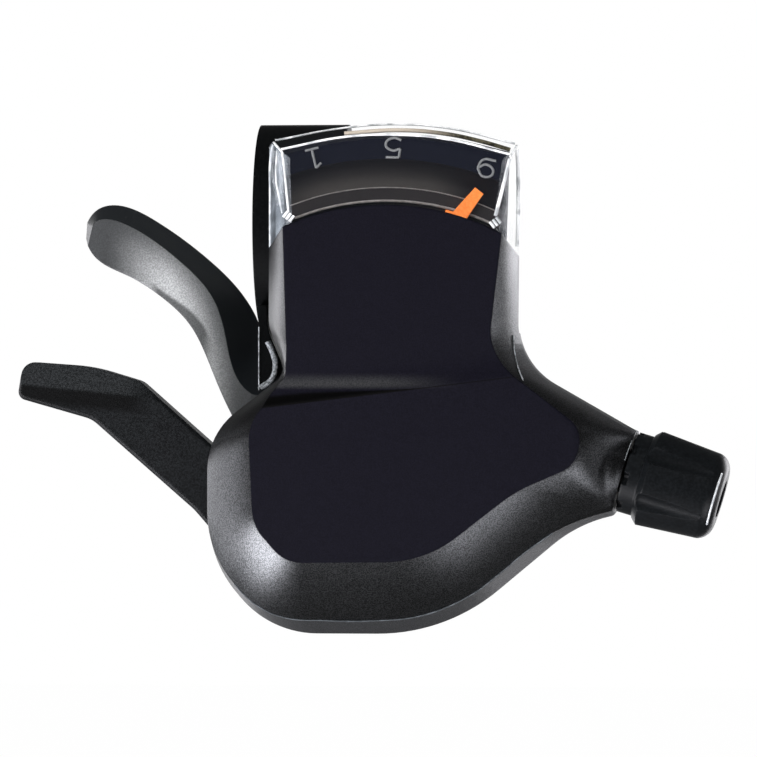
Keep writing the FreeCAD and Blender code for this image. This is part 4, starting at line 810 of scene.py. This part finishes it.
GLINT_LOOK = plastic("glint", grey(0.45, 0.04), grey(0.75, 0.03), 0.3, 0.5, 0.01)
KNOB_END, KNOB_INSET = 45.4, 0.62
KNOB_RADIUS, KNOB_ARC, KNOB_BEAD = 5.42, (50.0, 132.0), 0.14
KNOB_LINE = barrel_arc(KNOB_END - KNOB_INSET, KNOB_RADIUS, KNOB_ARC)
bead("knob_glint", [KNOB_LINE], KNOB_BEAD, GLINT_LOOK, "adjuster")


# Lit edges that lie on the cover, found by casting rays at it

BACKWARD, UPWARD = Vector((0.0, 1.0, 0.0)), Vector((0.0, 0.0, 1.0))


def on_cover(start, way):
    """The first place on the cover from a start, one way."""
    return nodes["top_cover"].ray_cast(start, way)[1]


CROOK_EDGE = ((17.2, 16.4), (17.3, 14.6), (17.7, 12.6), (18.6, 10.2))
CROOK_START, CROOK_BEAD = PANEL_LEVEL - 10.0, 0.10
CROOK_LINE = [on_cover(spot(across, CROOK_START, up), BACKWARD) for across, up in CROOK_EDGE]
bead("crook_edge", [CROOK_LINE], CROOK_BEAD, RIM_HIGHLIGHT_LOOK, "housing")

LIP_EDGE = (-20.8, -19.6, -17.6, -14.3, -8.4, -1.7, 4.8, 11.4, 15.0, 18.5, 22.5)
LIP_START, LIP_BEAD = -50.0, 0.10
LIP_LINE = [on_cover(spot(across, RIM_LEVEL, LIP_START), UPWARD) for across in LIP_EDGE]
# A darker painted highlight along the lip's edge
LIP_HIGHLIGHT_LOOK = plastic("lip_edge", grey(0.06, 0.1), grey(0.12, 0.1), 0.4, 1.2, 0.01)
bead("lip_edge", [LIP_LINE], LIP_BEAD, LIP_HIGHLIGHT_LOOK, "housing")


# The two cover screws, with a hexagon socket in each head

SCREW_PLACES = ((-15.3, -15.3), (19.0, -6.6))
SCREW_START, HEAD_FOOT, HEAD_TOP = -18.5, 7.45, 9.05
SCREW_RADIUS, HEAD_RADIUS = 1.25, 2.3
HEAD_EDGE = 0.35
SOCKET_HALF = 1.0
SOCKET_DEPTH = 1.1
SCREW_SIDES = 48


def round_loop(radius):
    """The reach of a circle at each step round it."""
    return [radius] * SCREW_SIDES


def hexagon_loop(half):
    """The reach of a hexagon at each step round it."""
    steps = [math.radians(360.0 * side / SCREW_SIDES % 60.0 - 30.0) for side in range(SCREW_SIDES)]
    return [half / math.cos(step) for step in steps]


def add_screws():
    """Long screws that stand for the plain ones, from the tip to the floor of the socket."""
    loops = (
        (SCREW_START, round_loop(SCREW_RADIUS)), (HEAD_FOOT, round_loop(SCREW_RADIUS)),
        (HEAD_FOOT, round_loop(HEAD_RADIUS)), (HEAD_TOP - HEAD_EDGE, round_loop(HEAD_RADIUS)),
        (HEAD_TOP, round_loop(HEAD_RADIUS - HEAD_EDGE)), (HEAD_TOP, hexagon_loop(SOCKET_HALF)),
        (HEAD_TOP - SOCKET_DEPTH, hexagon_loop(SOCKET_HALF)),
    )
    form = bmesh.new()
    turns = [math.radians(360.0 * side / SCREW_SIDES) for side in range(SCREW_SIDES)]
    for across, up in SCREW_PLACES:
        rows = []
        for level, reaches in loops:
            places = [(across + reach * math.cos(turn), level, up + reach * math.sin(turn))
                      for reach, turn in zip(reaches, turns)]
            rows.append([form.verts.new(spot(*place)) for place in places])
        for lower, upper in zip(rows, rows[1:]):
            for side in range(SCREW_SIDES):
                after = (side + 1) % SCREW_SIDES
                form.faces.new((lower[side], lower[after], upper[after], upper[side]))
        form.faces.new(rows[0])
        form.faces.new(rows[-1])
    bmesh.ops.recalc_face_normals(form, faces=form.faces)
    mesh = bpy.data.meshes.new("socket_screws")
    form.to_mesh(mesh)
    form.free()
    mesh.materials.append(STEEL_LOOK)
    item = bpy.data.objects.new("socket_screws", mesh)
    scene.collection.objects.link(item)
    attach(item, "housing")
    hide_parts("cover_screws")


add_screws()
